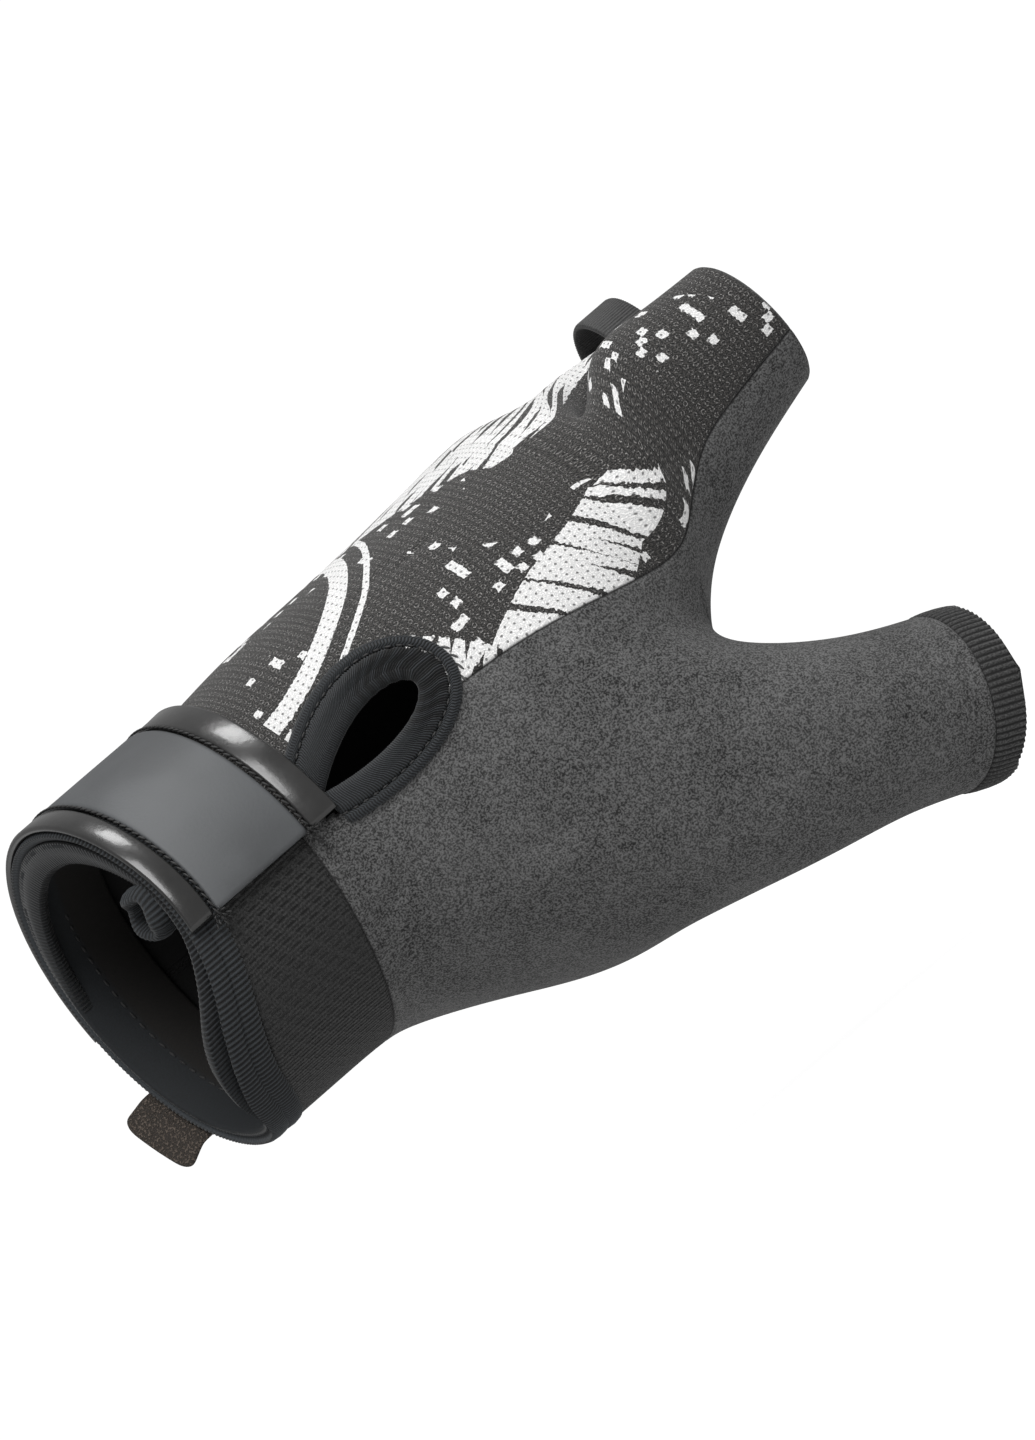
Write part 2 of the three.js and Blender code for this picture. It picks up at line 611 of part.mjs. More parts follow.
// Gathered end of the slit's tape, folded into the opening
function slitBinding() {
  const fold = new THREE.Shape();
  fold.absarc(0, 0, FOLD_RADIUS, 0, 2 * Math.PI, false);
  const hole = new THREE.Path();
  hole.absarc(0, 0, FOLD_RADIUS - FOLD_THICKNESS, 0, 2 * Math.PI, true);
  fold.holes.push(hole);
  const settings = { depth: FOLD_WIDTH, bevelEnabled: false, curveSegments: FOLD_STEPS };
  const band = new THREE.ExtrudeGeometry(fold, settings);
  band.rotateX(Math.PI / 2).rotateZ(Math.PI / 2);
  band.translate(-FOLD_OUT, FOLD_RADIUS * FOLD_SEAT - WRIST_WIDTH / 2, FOLD_HEIGHT);
  return keep(band, openingSlice(tabInset));
}
addPiece('slit_binding', slitBinding());

export default glove;
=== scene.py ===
import math

import bmesh
import bpy
from mathutils import Matrix, Vector
from mathutils.bvhtree import BVHTree


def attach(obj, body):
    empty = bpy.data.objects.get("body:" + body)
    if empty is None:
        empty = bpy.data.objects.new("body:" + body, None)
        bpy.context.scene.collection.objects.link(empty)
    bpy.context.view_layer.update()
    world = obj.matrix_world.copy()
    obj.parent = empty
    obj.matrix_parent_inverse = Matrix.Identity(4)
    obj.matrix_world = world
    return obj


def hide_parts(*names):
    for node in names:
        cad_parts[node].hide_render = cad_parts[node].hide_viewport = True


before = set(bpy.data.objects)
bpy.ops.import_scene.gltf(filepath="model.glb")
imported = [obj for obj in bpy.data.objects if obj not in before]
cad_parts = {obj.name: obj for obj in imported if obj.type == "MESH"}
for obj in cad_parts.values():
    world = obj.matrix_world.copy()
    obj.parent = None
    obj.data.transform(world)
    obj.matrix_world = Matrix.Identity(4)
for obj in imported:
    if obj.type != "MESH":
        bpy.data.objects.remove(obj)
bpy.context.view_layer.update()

# Camera
# The glove is seen level from its thumb side, turned so that the fingers point up and to the right.
# A long lens a few metres away keeps the wrist and the fingers at one scale.
MM = 0.001
VIEW_TURN = math.radians(20.5)
VIEW_ROLL = math.radians(41.0)
FRAME_HEIGHT = 230.4 * MM
FRAME_CENTRE = (58.2 * MM, 42.6 * MM)
SENSOR = 36.0
LENS = 400.0

sight = Vector((math.sin(VIEW_TURN), math.cos(VIEW_TURN), 0.0))
level = Vector((math.cos(VIEW_TURN), -math.sin(VIEW_TURN), 0.0))
plumb = Vector((0.0, 0.0, 1.0))
image_right = level * math.cos(VIEW_ROLL) - plumb * math.sin(VIEW_ROLL)
image_up = level * math.sin(VIEW_ROLL) + plumb * math.cos(VIEW_ROLL)
camera_place = image_right * FRAME_CENTRE[0] + image_up * FRAME_CENTRE[1]
camera_place -= sight * (FRAME_HEIGHT * LENS / SENSOR)
lens = bpy.data.cameras.new("lens")
lens.lens = LENS
lens.sensor_width = SENSOR
lens.clip_end = 20.0
camera = bpy.data.objects.new("camera", lens)
turned = Matrix((image_right, image_up, -sight)).transposed().to_4x4()
camera.matrix_world = Matrix.Translation(camera_place) @ turned
bpy.context.scene.collection.objects.link(camera)
bpy.context.scene.camera = camera

# Studio
# A pale floor and a white surround, one large soft light from above the camera's left,
# a weak one from the right, and a strip overhead for the shine on the trims.
FLOOR_DROP = 80 * MM
FLOOR_SIZE = 12.0
FLOOR_GLOW = 0.90
SURROUND_LIGHT = 0.36
FLOOR_BOUNCE = 0.40
SURROUND_SEEN = 1.05

bm = bmesh.new()
bmesh.ops.create_grid(bm, x_segments=1, y_segments=1, size=FLOOR_SIZE / 2)
bmesh.ops.translate(bm, verts=bm.verts, vec=(0.0, 0.0, -FLOOR_DROP))
floor_mesh = bpy.data.meshes.new("floor")
bm.to_mesh(floor_mesh)
bm.free()
floor = bpy.data.objects.new("floor", floor_mesh)
bpy.context.scene.collection.objects.link(floor)
paper = bpy.data.materials.new("floor_paper")
paper.use_nodes = True
paper_shader = paper.node_tree.nodes["Principled BSDF"]
paper_shader.inputs["Base Color"].default_value = (0.30, 0.30, 0.30, 1.0)
paper_shader.inputs["Roughness"].default_value = 0.9
paper_ray = paper.node_tree.nodes.new("ShaderNodeLightPath")
paper_light = paper.node_tree.nodes.new("ShaderNodeMix")
paper_light.data_type = "RGBA"
paper_light.inputs[6].default_value = (FLOOR_BOUNCE, FLOOR_BOUNCE, FLOOR_BOUNCE, 1.0)
paper_light.inputs[7].default_value = (1.0, 1.0, 1.0, 1.0)
paper.node_tree.links.new(paper_ray.outputs["Is Camera Ray"], paper_light.inputs[0])
paper.node_tree.links.new(paper_light.outputs[2], paper_shader.inputs["Emission Color"])
paper_shader.inputs["Emission Strength"].default_value = FLOOR_GLOW
floor_mesh.materials.append(paper)

world = bpy.data.worlds.new("surround")
world.use_nodes = True
bpy.context.scene.world = world
sky = world.node_tree
sky.nodes.clear()
ray = sky.nodes.new("ShaderNodeLightPath")
share = sky.nodes.new("ShaderNodeMapRange")
share.inputs["To Min"].default_value = SURROUND_LIGHT
share.inputs["To Max"].default_value = SURROUND_SEEN
surround = sky.nodes.new("ShaderNodeBackground")
surround.inputs["Color"].default_value = (1.0, 1.0, 1.0, 1.0)
surround_out = sky.nodes.new("ShaderNodeOutputWorld")
sky.links.new(ray.outputs["Is Camera Ray"], share.inputs["Value"])
sky.links.new(share.outputs["Result"], surround.inputs["Strength"])
sky.links.new(surround.outputs["Background"], surround_out.inputs["Surface"])

LIGHTS = [
    ("key", image_up * 0.9 - image_right * 0.8 - sight * 1.0, 0.9, 22.0),
    ("fill", image_right * 1.2 - sight * 0.9 + image_up * 0.1, 1.0, 1.2),
    ("strip", image_up * 1.0 - image_right * 0.4 + sight * 0.1, 0.35, 4.5),
]
for light_name, light_place, light_size, light_power in LIGHTS:
    lamp = bpy.data.lights.new(light_name, "AREA")
    lamp.shape = "SQUARE"
    lamp.size = light_size
    lamp.energy = light_power
    holder = bpy.data.objects.new(light_name, lamp)
    holder.location = light_place
    holder.rotation_mode = "QUATERNION"
    holder.rotation_quaternion = (-light_place).to_track_quat("-Z", "Y")
    bpy.context.scene.collection.objects.link(holder)
bpy.context.scene.view_settings.view_transform = "Standard"

# Cut of the glove
# All the cloth pieces are sewn into one close shell over the hand, so they are cut from one form.
# Rings of 20 points run from the wrist to the finger webs, and the thumb and fingers branch off them.
WRIST_WIDTH = 66.0
WRIST_DEPTH = 60.0
RIM_SLANT = 2.4
RIM_DROP = 8.5
RIM_DROP_AT = math.radians(318.0)
RIM_DROP_SPREAD = math.radians(34.0)
PALM_WIDTH = 92.0
PALM_LENGTH = 76.0
STRAP_END = 30.0
FINGER_DEPTH = 24.0
FINGER_SLANT = 1.3
FINGER_PALM_SWELL = 0.12
WEB_SET_BACK = 3.0
THUMB_LENGTH = 52.0
THUMB_WIDTH = 29.4
THUMB_DEPTH = 26.0
HEM_WIDTH = 4.0
HEM_SLANT = 4.0
COLUMNS = 20
SECTIONS = [
    (0.0, 0.00, 0.512, -0.515, 0.00, 6.0, 0.00),
    (5.0, 0.00, 0.512, -0.515, 0.00, 6.0, 0.00),
    (15.0, 0.00, 0.512, -0.515, 0.00, 6.0, 0.00),
    (25.0, 0.00, 0.512, -0.515, 0.00, 6.0, 0.00),
    (STRAP_END, 0.02, 0.508, -0.530, 0.00, 7.0, 0.02),
    (STRAP_END + 0.19 * PALM_LENGTH, 0.28, 0.540, -0.570, 0.00, 10.0, 0.24),
    (STRAP_END + 0.40 * PALM_LENGTH, 0.62, 0.540, -0.620, 0.00, 12.0, 0.48),
    (STRAP_END + 0.64 * PALM_LENGTH, 0.85, 0.555, -0.585, 0.01, 5.0, 0.50),
    (STRAP_END + 0.90 * PALM_LENGTH, 0.97, 0.585, -0.390, 0.02, -19.0, 0.10),
    (STRAP_END + PALM_LENGTH, 1.00, 0.575, -0.262, 0.02, -25.0, 0.00),
]
LAST_ROW = len(SECTIONS) - 1
THUMB_BALL_AT = 300.0
THUMB_BALL_SPREAD = 40.0
FINGERS = [
    (-0.345, 34.0, 0.92, 1.00, 0.24, 0.303, -24.0),
    (-0.095, 36.0, 0.90, 1.00, 0.24, 0.300, 0.0),
    (0.150, 32.0, 0.86, 0.94, 0.22, 0.240, 0.0),
    (0.375, 26.0, 0.80, 0.86, 0.15, 0.140, 0.0),
]
FINGER_RINGS = [(0.26, 0.97, 1.40, 0.9), (0.60, 0.98, 1.16, 1.0), (1.00, 1.00, 1.00, 1.0)]
THUMB_ROOT = Vector((STRAP_END + 0.604 * PALM_LENGTH, -0.44 * PALM_WIDTH, -0.53 * WRIST_DEPTH))
THUMB_HEADING = Vector((0.90, 0.05, -0.355)).normalized()
THUMB_RINGS = [
    (0.36, 1.22, 1.12),
    (0.66, 1.00, 1.02),
    (1 - HEM_WIDTH / THUMB_LENGTH, 1.00, 1.00),
    (1.00, 1.00, 1.00),
]
BACK, PALM, CUFF, THUMB_EDGE, WRIST_EDGE = range(5)
SEAM_LAP = 0.12
SEAM_SHADE = 0.55
SEAM_TUCKS = ((0.60, 0.16), (0.30, 0.36))


def ring_swell(sides):
    return 6 / (4 + 2 * math.cos(2 * math.pi / sides))


def rim_slant(turn, along):
    """How far the rim reaches beyond its plane: on the far side, and most below the strap's near end."""
    away = (turn - RIM_DROP_AT + math.pi) % (2 * math.pi) - math.pi
    drop = RIM_DROP * math.exp(-((away / RIM_DROP_SPREAD) ** 2))
    return (RIM_SLANT * (1 - math.cos(turn)) / 2 + drop) * max(0.0, 1 - along / STRAP_END)


def section_place(row, column):
    along, spread, top, bottom, shift, seam, thenar = SECTIONS[row]
    half = COLUMNS / 2
    if column <= half:
        degrees = seam + (180 - seam) * column / half
    else:
        degrees = 180 + (180 + seam) * (column - half) / half
    angle = math.radians(degrees)
    half_width = (WRIST_WIDTH + (PALM_WIDTH - WRIST_WIDTH) * spread) / 2
    from_ball = abs((degrees - THUMB_BALL_AT + 540) % 360 - 180)
    swell = ring_swell(COLUMNS) * (1 + thenar * math.exp(-((from_ball / THUMB_BALL_SPREAD) ** 2)))
    across = shift * PALM_WIDTH - half_width * math.cos(angle) * swell
    height = (top + bottom) / 2 * WRIST_DEPTH + (top - bottom) / 2 * WRIST_DEPTH * math.sin(angle) * swell
    return Vector((along - rim_slant(angle, along), across, height)) * MM


def thumb_place(ring_share, angle, width=1.0, depth=1.0):
    near = (Vector((0, -1, 0)) + THUMB_HEADING * THUMB_HEADING.y).normalized()
    up = near.cross(THUMB_HEADING).normalized()
    if up.z < 0:
        up = -up
    axis = THUMB_ROOT + THUMB_HEADING * (ring_share * (THUMB_LENGTH + HEM_SLANT * math.cos(angle)))
    outward = near * (THUMB_DEPTH / 2 * depth * math.cos(angle))
    outward += up * (THUMB_WIDTH / 2 * width * math.sin(angle))
    return axis * MM, outward * MM


def finger_place(finger, ring, angle):
    across, length, width, depth, root, end, twist = finger
    along, ring_width, ring_depth, turn = ring
    radius = FINGER_DEPTH / 2 * ring_swell(8)
    angle += math.radians(twist * turn)
    height = (root + (end - root) * along) * WRIST_DEPTH
    swell = 1 + FINGER_PALM_SWELL if math.sin(angle) < 0 else 1.0
    return Vector((
        STRAP_END + PALM_LENGTH + along * (length - FINGER_SLANT * math.sin(angle)),
        across * PALM_WIDTH - radius * width * ring_width * math.cos(angle),
        height + radius * depth * ring_depth * swell * math.sin(angle),
    )) * MM


def edge_between(first, second):
    return next(e for e in first.link_edges if e.other_vert(first) is second)


def ring_edges(ring):
    return [edge_between(first, second) for first, second in zip(ring, ring[1:] + ring[:1])]


def grow(bm, ring, places):
    """Draws an edge of the cloth out to its next places, and gives the new edge's points."""
    made = bmesh.ops.extrude_edge_only(bm, edges=ring_edges(ring))["geom"]
    fresh = {item for item in made if isinstance(item, bmesh.types.BMVert)}
    grown = []
    for vert, place in zip(ring, places):
        follower = next(e.other_vert(vert) for e in vert.link_edges if e.other_vert(vert) in fresh)
        follower.co = place
        grown.append(follower)
    return grown


def lay_cloth(bm, before, after, step, cloth, weave):
    """Marks one face of the form with its cloth and its place on the flat cut, in millimetres."""
    after_step = (step + 1) % len(before)
    verts = (before[step], before[after_step], after[step], after[after_step])
    corners = dict(zip(verts, weave))
    face = next(f for f in after[step].link_faces if set(f.verts) == set(corners))
    face[cloth_layer] = cloth
    for loop in face.loops:
        loop[weave_layer].uv = corners[loop.vert]


def running(ring, centre):
    """Lengths round a ring of places from the one at the centre, in millimetres."""
    places = ring + ring[:1]
    lengths = [0.0]
    for first, second in zip(places, places[1:]):
        lengths.append(lengths[-1] + (second - first).length / MM)
    return [length - lengths[centre] for length in lengths]


form = bmesh.new()
cloth_layer = form.faces.layers.int.new("cloth")
weave_layer = form.loops.layers.uv.new("weave")
start = bmesh.ops.create_circle(form, cap_ends=False, radius=1.0, segments=COLUMNS)["verts"]
rows = [list(start)]
for column, vert in enumerate(rows[0]):
    vert.co = section_place(0, column)
for row in range(1, LAST_ROW + 1):
    rows.append(grow(form, rows[-1], [section_place(row, column) for column in range(COLUMNS)]))
row_lengths = [running([v.co.copy() for v in ring], 5) for ring in rows]
palm_lengths = [running([v.co.copy() for v in ring], 15) for ring in rows]
for row in range(LAST_ROW):
    for column in range(COLUMNS):
        on_back = column < COLUMNS // 2
        if row == 0:
            cloth = WRIST_EDGE
        elif on_back:
            cloth = BACK
        elif row < 3:
            cloth = CUFF
        else:
            cloth = PALM
        lengths = row_lengths if on_back else palm_lengths
        low = SECTIONS[row][0]
        high = SECTIONS[row + 1][0]
        weave = [
            (lengths[row][column], low),
            (lengths[row][column + 1], low),
            (lengths[row + 1][column], high),
            (lengths[row + 1][column + 1], high),
        ]
        lay_cloth(form, rows[row], rows[row + 1], column, cloth, weave)

thumb_loop = [rows[6][19], rows[7][19]]
thumb_loop += [rows[8][column] for column in (19, 18, 17)]
thumb_loop += [rows[8][16], rows[7][16]]
thumb_loop += [rows[6][column] for column in (16, 17, 18)]
hole = [f for f in form.faces if all(v in thumb_loop or v in rows[7][17:19] for v in f.verts)]
bmesh.ops.delete(form, geom=hole, context="FACES")
loop = thumb_loop
loop_lengths = running([v.co.copy() for v in loop], 0)
for index, (along, width, depth) in enumerate(THUMB_RINGS):
    places = []
    for step in range(len(loop)):
        angle = (0.5 + step) * 2 * math.pi / len(loop)
        axis, outward = thumb_place(along, angle, width, depth)
        places.append(axis + outward * ring_swell(len(loop)))
    after = grow(form, loop, places)
    after_lengths = running(places, 0)
    cloth = THUMB_EDGE if index == len(THUMB_RINGS) - 1 else PALM
    before_along = THUMB_RINGS[index - 1][0] if index else 0.0
    for step in range(len(loop)):
        weave = [
            (loop_lengths[step], before_along * THUMB_LENGTH),
            (loop_lengths[step + 1], before_along * THUMB_LENGTH),
            (after_lengths[step], along * THUMB_LENGTH),
            (after_lengths[step + 1], along * THUMB_LENGTH),
        ]
        lay_cloth(form, loop, after, step, cloth, weave)
    loop = after
    loop_lengths = after_lengths

knuckles = rows[LAST_ROW]
webs = []
for column in (3, 5, 7):
    above = knuckles[column]
    below = knuckles[COLUMNS - column]
    web = form.verts.new((above.co + below.co) / 2 - Vector((WEB_SET_BACK * MM, 0, 0)))
    form.edges.new((above, web))
    form.edges.new((web, below))
    webs.append(web)
roots = [
    knuckles[0:4] + [webs[0]] + knuckles[17:20],
    [webs[0]] + knuckles[3:6] + [webs[1]] + knuckles[15:18],
    [webs[1]] + knuckles[5:8] + [webs[2]] + knuckles[13:16],
    [webs[2]] + knuckles[7:14],
]
FINGER_CROWNS = (2, 4, 6, 8)
for finger, root, crown in zip(FINGERS, roots, FINGER_CROWNS):
    loop = root
    centre = row_lengths[LAST_ROW][crown]
    low = SECTIONS[LAST_ROW][0]
    loop_lengths = [centre + length for length in running([v.co.copy() for v in loop], 2)]
    for ring in FINGER_RINGS:
        places = [finger_place(finger, ring, step * math.pi / 4) for step in range(8)]
        after = grow(form, loop, places)
        high = STRAP_END + PALM_LENGTH + ring[0] * finger[1]
        after_lengths = [centre + length for length in running(places, 2)]
        for step in range(8):
            weave = [
                (loop_lengths[step], low),
                (loop_lengths[step + 1], low),
                (after_lengths[step], high),
                (after_lengths[step + 1], high),
            ]
            lay_cloth(form, loop, after, step, BACK if step < 4 else PALM, weave)
        loop = after
        loop_lengths = after_lengths
        low = high
bmesh.ops.recalc_face_normals(form, faces=form.faces)

FORM_LEVELS = 4
form_mesh = bpy.data.meshes.new("form")
form.to_mesh(form_mesh)
form.free()
form_object = bpy.data.objects.new("form", form_mesh)
bpy.context.scene.collection.objects.link(form_object)
rounding = form_object.modifiers.new("round", "SUBSURF")
rounding.levels = FORM_LEVELS
rounding.render_levels = FORM_LEVELS
rounding.uv_smooth = "NONE"
bpy.context.view_layer.update()
drawn = form_object.evaluated_get(bpy.context.evaluated_depsgraph_get())
skin_mesh = bpy.data.meshes.new_from_object(drawn)
bpy.data.objects.remove(form_object)
skin = bmesh.new()
skin.from_mesh(skin_mesh)
skin_tree = BVHTree.FromBMesh(skin)


def cast(origin, direction, guess=None):
    """Place and outward normal where a line from the origin meets the skin, or else nearest the guess."""
    place, normal, _, _ = skin_tree.ray_cast(origin, direction.normalized())
    if place is None:
        place, normal, _, _ = skin_tree.find_nearest(guess or origin)
    return place, normal


def seen_from_camera(right, up):
    """Place and normal on the skin, right of and above the origin in the camera's view, in millimetres."""
    return cast(image_right * right * MM + image_up * up * MM - sight * 0.3, sight)


def crease(bm, right, up, turn, length, width, depth):
    """Presses a soft fold into the skin. The turn is from the view's right, in degrees."""
    middle, normal = seen_from_camera(right, up)
    way = image_right * math.cos(math.radians(turn)) + image_up * math.sin(math.radians(turn))
    way = (way - normal * way.dot(normal)).normalized()
    side = normal.cross(way)
    reach = 2 * max(length, width) * MM
    for vert in bm.verts:
        away = vert.co - middle
        if away.length > reach:
            continue
        across = away.dot(side) / (width * MM)
        along = away.dot(way) / (length * MM)
        fall = math.exp(-(along ** 2)) * math.exp(-(across ** 2)) * (1 - 1.2 * across ** 2)
        vert.co -= normal * depth * MM * fall


CREASES = [
    (41.0, 69.0, 62, 6.0, 1.4, 0.30),
    (36.0, 66.0, 80, 5.0, 1.3, 0.25),
    (82.0, 84.0, 35, 9.0, 2.0, 0.35),
    (96.0, 97.5, 52, 8.0, 1.8, 0.30),
    (70.0, 80.0, 120, 7.0, 1.8, 0.25),
    (88.0, 62.0, -62, 4.0, 1.1, 0.50),
    (85.6, 60.5, -50, 3.2, 0.9, 0.35),
    (91.0, 58.0, -75, 3.5, 1.0, 0.35),
    (56.0, 52.0, 20, 9.0, 2.4, 0.35),
    (60.0, 22.0, 28, 14.0, 4.0, 0.45),
    (104.0, 38.0, 12, 12.0, 4.0, 0.40),
    (40.0, 16.0, 60, 9.0, 2.6, 0.35),
]
for fold_line in CREASES:
    crease(skin, *fold_line)
skin.normal_update()
skin_tree = BVHTree.FromBMesh(skin)


# Back panel
# The back is one piece of dimpled mesh knit, printed in black and white before it was cut. It runs from
# the strap over the knuckles and out over the fingers, and its edges are turned into the seams.
def cut_piece(cloth):
    """Copies the faces of one cloth from the glove's skin."""
    piece = skin.copy()
    layer = piece.faces.layers.int["cloth"]
    other = [f for f in piece.faces if f[layer] != cloth]
    bmesh.ops.delete(piece, geom=other, context="FACES")
    return piece


def put_in_scene(name, bm, node, slot_name, *materials):
    """Makes a finished piece that rides on the glove and stands for its CAD node."""
    mesh = bpy.data.meshes.new(name)
    for face in bm.faces:
        face.smooth = True
    bm.to_mesh(mesh)
    bm.free()
    for material in materials:
        mesh.materials.append(material)
    piece = bpy.data.objects.new(name, mesh)
    bpy.context.scene.collection.objects.link(piece)
    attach(piece, "root")
    if node:
        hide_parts(node)
    return piece


def give_wall(piece, thickness):
    """Gives a cut piece the thickness of its cloth, inwards."""
    wall = piece.modifiers.new("wall", "SOLIDIFY")
    wall.thickness = thickness * MM
    wall.offset = -1.0
    wall.material_offset = 1


def tuck_edges(bm, steps):
    """Turns a narrow strip along the cut edge down into the seam, a little over the next piece."""
    seam_layer = bm.verts.layers.float.new("seam")
    for width, depth in steps:
        bmesh.ops.inset_region(bm, faces=bm.faces, thickness=width * MM, use_boundary=True,
                               use_even_offset=True, use_interpolate=True)
        bm.normal_update()
        edge = {v for e in bm.edges if e.is_boundary for v in e.verts}
        moves = []
        for vert in edge:
            inner = [e.other_vert(vert) for e in vert.link_edges if not e.is_boundary]
            outward = (vert.co - inner[0].co).normalized() if inner else Vector()
            moves.append((vert, outward * SEAM_LAP * MM - vert.normal * depth * MM))
        for vert, move in moves:
            vert.co += move
    # Marks the turned-in edge for the painted seam shade: 1 on the edge and SEAM_SHADE on the points next
    # to it.
    for vert in edge:
        vert[seam_layer] = 1.0
        for link in vert.link_edges:
            neighbour = link.other_vert(vert)
            if neighbour not in edge:
                neighbour[seam_layer] = SEAM_SHADE
    bm.normal_update()
    turned_in = []
    for face in bm.faces:
        _, outward, _, _ = skin_tree.find_nearest(face.calc_center_median())
        if face.normal.dot(outward) < 0:
            turned_in.append(face)
    bmesh.ops.reverse_faces(bm, faces=turned_in)


class Wire:
    """One socket of a finish, so that what is done to it can be written as sums."""

    def __init__(self, tree, socket=None):
        self.tree = tree
        self.socket = socket

    def node(self, kind, settings=None, values=None, out=0):
        made = self.tree.nodes.new("ShaderNode" + kind)
        for setting, value in (settings or {}).items():
            if setting == "stops":
                ramp = made.color_ramp.elements
                while len(ramp) < len(value):
                    ramp.new(0.5)
                for stop, (position, colour) in zip(ramp, value):
                    stop.position = position
                    stop.color = colour
            else:
                setattr(made, setting, value)
        for socket, value in (values or {}).items():
            if isinstance(value, Wire):
                self.tree.links.new(value.socket, made.inputs[socket])
            else:
                made.inputs[socket].default_value = value
        return Wire(self.tree, made.outputs[out] if len(made.outputs) else None)

    def math(self, operation, second=0.0):
        return self.node("Math", {"operation": operation}, {0: self, 1: second})

    def __add__(self, other):
        return self.math("ADD", other)

    __radd__ = __add__

    def __sub__(self, other):
        return self.math("SUBTRACT", other)

    def __rsub__(self, other):
        return self.node("Math", {"operation": "SUBTRACT"}, {0: other, 1: self})

    def __mul__(self, other):
        return self.math("MULTIPLY", other)

    __rmul__ = __mul__

    def __truediv__(self, other):
        return self.math("DIVIDE", other)

    def __gt__(self, other):
        return self.math("GREATER_THAN", other)

    def __lt__(self, other):
        return self.math("LESS_THAN", other)

    def between(self, low, high):
        """0 below the low value and 1 above the high one, with a soft step."""
        return self.node("MapRange", {"interpolation_type": "SMOOTHSTEP"}, {
            "Value": self, "From Min": low, "From Max": high})

    def blend(self, first, second):
        """Colour that goes from the first to the second as this value goes from 0 to 1."""
        return self.node("Mix", {"data_type": "RGBA"}, {0: self, 6: first, 7: second}, out=2)

    def noise(self, scale, detail=2.0, kind="3D"):
        return self.node("TexNoise", {"noise_dimensions": kind}, {
            "Vector": self, "Scale": scale, "Detail": detail})


def new_finish(name):
    material = bpy.data.materials.new(name)
    material.use_nodes = True
    material.node_tree.nodes.clear()
    return material, Wire(material.node_tree)


def close_finish(wire, colour, roughness, height, bump_depth, **constants):
    """Joins colour, roughness and relief to the shader. Bump depth is in millimetres."""
    bump = wire.node("Bump", {}, {"Height": height, "Distance": bump_depth * MM, "Strength": 1.0})
    values = {"Base Color": colour, "Roughness": roughness, "Normal": bump}
    values.update({name.replace("_", " "): value for name, value in constants.items()})
    shader = wire.node("BsdfPrincipled", {}, values)
    wire.node("OutputMaterial", {}, {"Surface": shader})


def marked(wire, name):
    """A number that the mesh carries on its points."""
    return wire.node("Attribute", {"attribute_name": name}, {}, out="Fac")


def seam_shade(wire, colour):
    """Darkens the cloth where it turns down into a seam: painted shade along the seam line."""
    return marked(wire, "seam").between(0.25, 0.8).blend(colour, grey(0.003))


def weave_places(wire):
    """The flat cut's two directions, in millimetres: across the hand and along it."""
    uv = wire.node("UVMap", {"uv_map": "weave"})
    across = wire.node("SeparateXYZ", {}, {0: uv}, out=0)
    along = wire.node("SeparateXYZ", {}, {0: uv}, out=1)
    return uv, across, along


def object_places(wire, scale=1000.0):
    """Object coordinates in millimetres."""
    places = wire.node("TexCoord", {}, {}, out="Object")
    return places.node("Mapping", {}, {"Vector": places, "Scale": (scale, scale, scale)})


def grey(value, warm=0.0):
    return (value * (1 + warm), value, value * (1 - warm), 1.0)


UNDER_STRAP = 33.0
STROKE_PITCH = 2.7
BLOCK_SIZE = 1.6
BOW_CENTRE = (-4.0, 38.0, 0.0)
BOW_RADIUS = 30.0
BOW_WIDTH = 3.8
THIN_BOW_RADIUS = 35.5
THIN_BOW_WIDTH = 1.2
DIMPLE_ACROSS = 1.33
DIMPLE_ALONG = 1.5
KNIT_WALL = 1.1
VENT_LENGTH = 25.0
VENT_WIDTH = 9.0
VENT_BAND = 6.0
VENT_CUT = VENT_BAND - 2.5
VENT_TILT = math.radians(12.0)
VENT_HEIGHT = 8.0
VENT_FULLNESS = 0.62
VENT_POINT = 0.8


def teardrop(turn, grown):
    """A place on the vent's outline, grown outwards, seen from the thumb side: along the hand and up."""
    def bare(angle):
        rise = math.sin(angle) * math.sin(angle / 2) ** VENT_POINT
        return Vector((-VENT_LENGTH / 2 * math.cos(angle), VENT_FULLNESS * VENT_WIDTH * rise))
    way = (bare(turn + 0.01) - bare(turn - 0.01)).normalized()
    place = bare(turn) + Vector((-way.y, way.x)) * grown
    along = place.x * math.cos(VENT_TILT) - place.y * math.sin(VENT_TILT)
    rise = place.x * math.sin(VENT_TILT) + place.y * math.cos(VENT_TILT)
    return Vector((STRAP_END + VENT_LENGTH / 2 + along, VENT_HEIGHT + rise))


def in_teardrop(place, grown):
    """Whether a place on the thumb side lies within the grown outline of the vent."""
    spot = Vector((place.x / MM, place.z / MM))
    beyond = abs(spot.x - STRAP_END - VENT_LENGTH / 2) > VENT_LENGTH
    if place.y > 0 or beyond or abs(spot.y - VENT_HEIGHT) > 2 * VENT_WIDTH:
        return False
    steps = 48
    outline = [teardrop((k + 0.5) * 2 * math.pi / steps, grown) for k in range(steps)]
    inside = False
    for first, second in zip(outline, outline[1:] + outline[:1]):
        if (first.y > spot.y) != (second.y > spot.y):
            crossing = first.x + (spot.y - first.y) * (second.x - first.x) / (second.y - first.y)
            if spot.x < crossing:
                inside = not inside
    return inside


def open_vent(bm):
    """Cuts the vent from a piece, under the middle of its binding."""
    gone = [f for f in bm.faces if in_teardrop(f.calc_center_median(), VENT_CUT)]
    bmesh.ops.delete(bm, geom=gone, context="FACES")


def cloth_area(bm):
    """Area of a cut piece before its edges are turned in, in square metres."""
    return sum(face.calc_area() for face in bm.faces)


back = cut_piece(BACK)
open_vent(back)
back_area = cloth_area(back)
tuck_edges(back, SEAM_TUCKS)

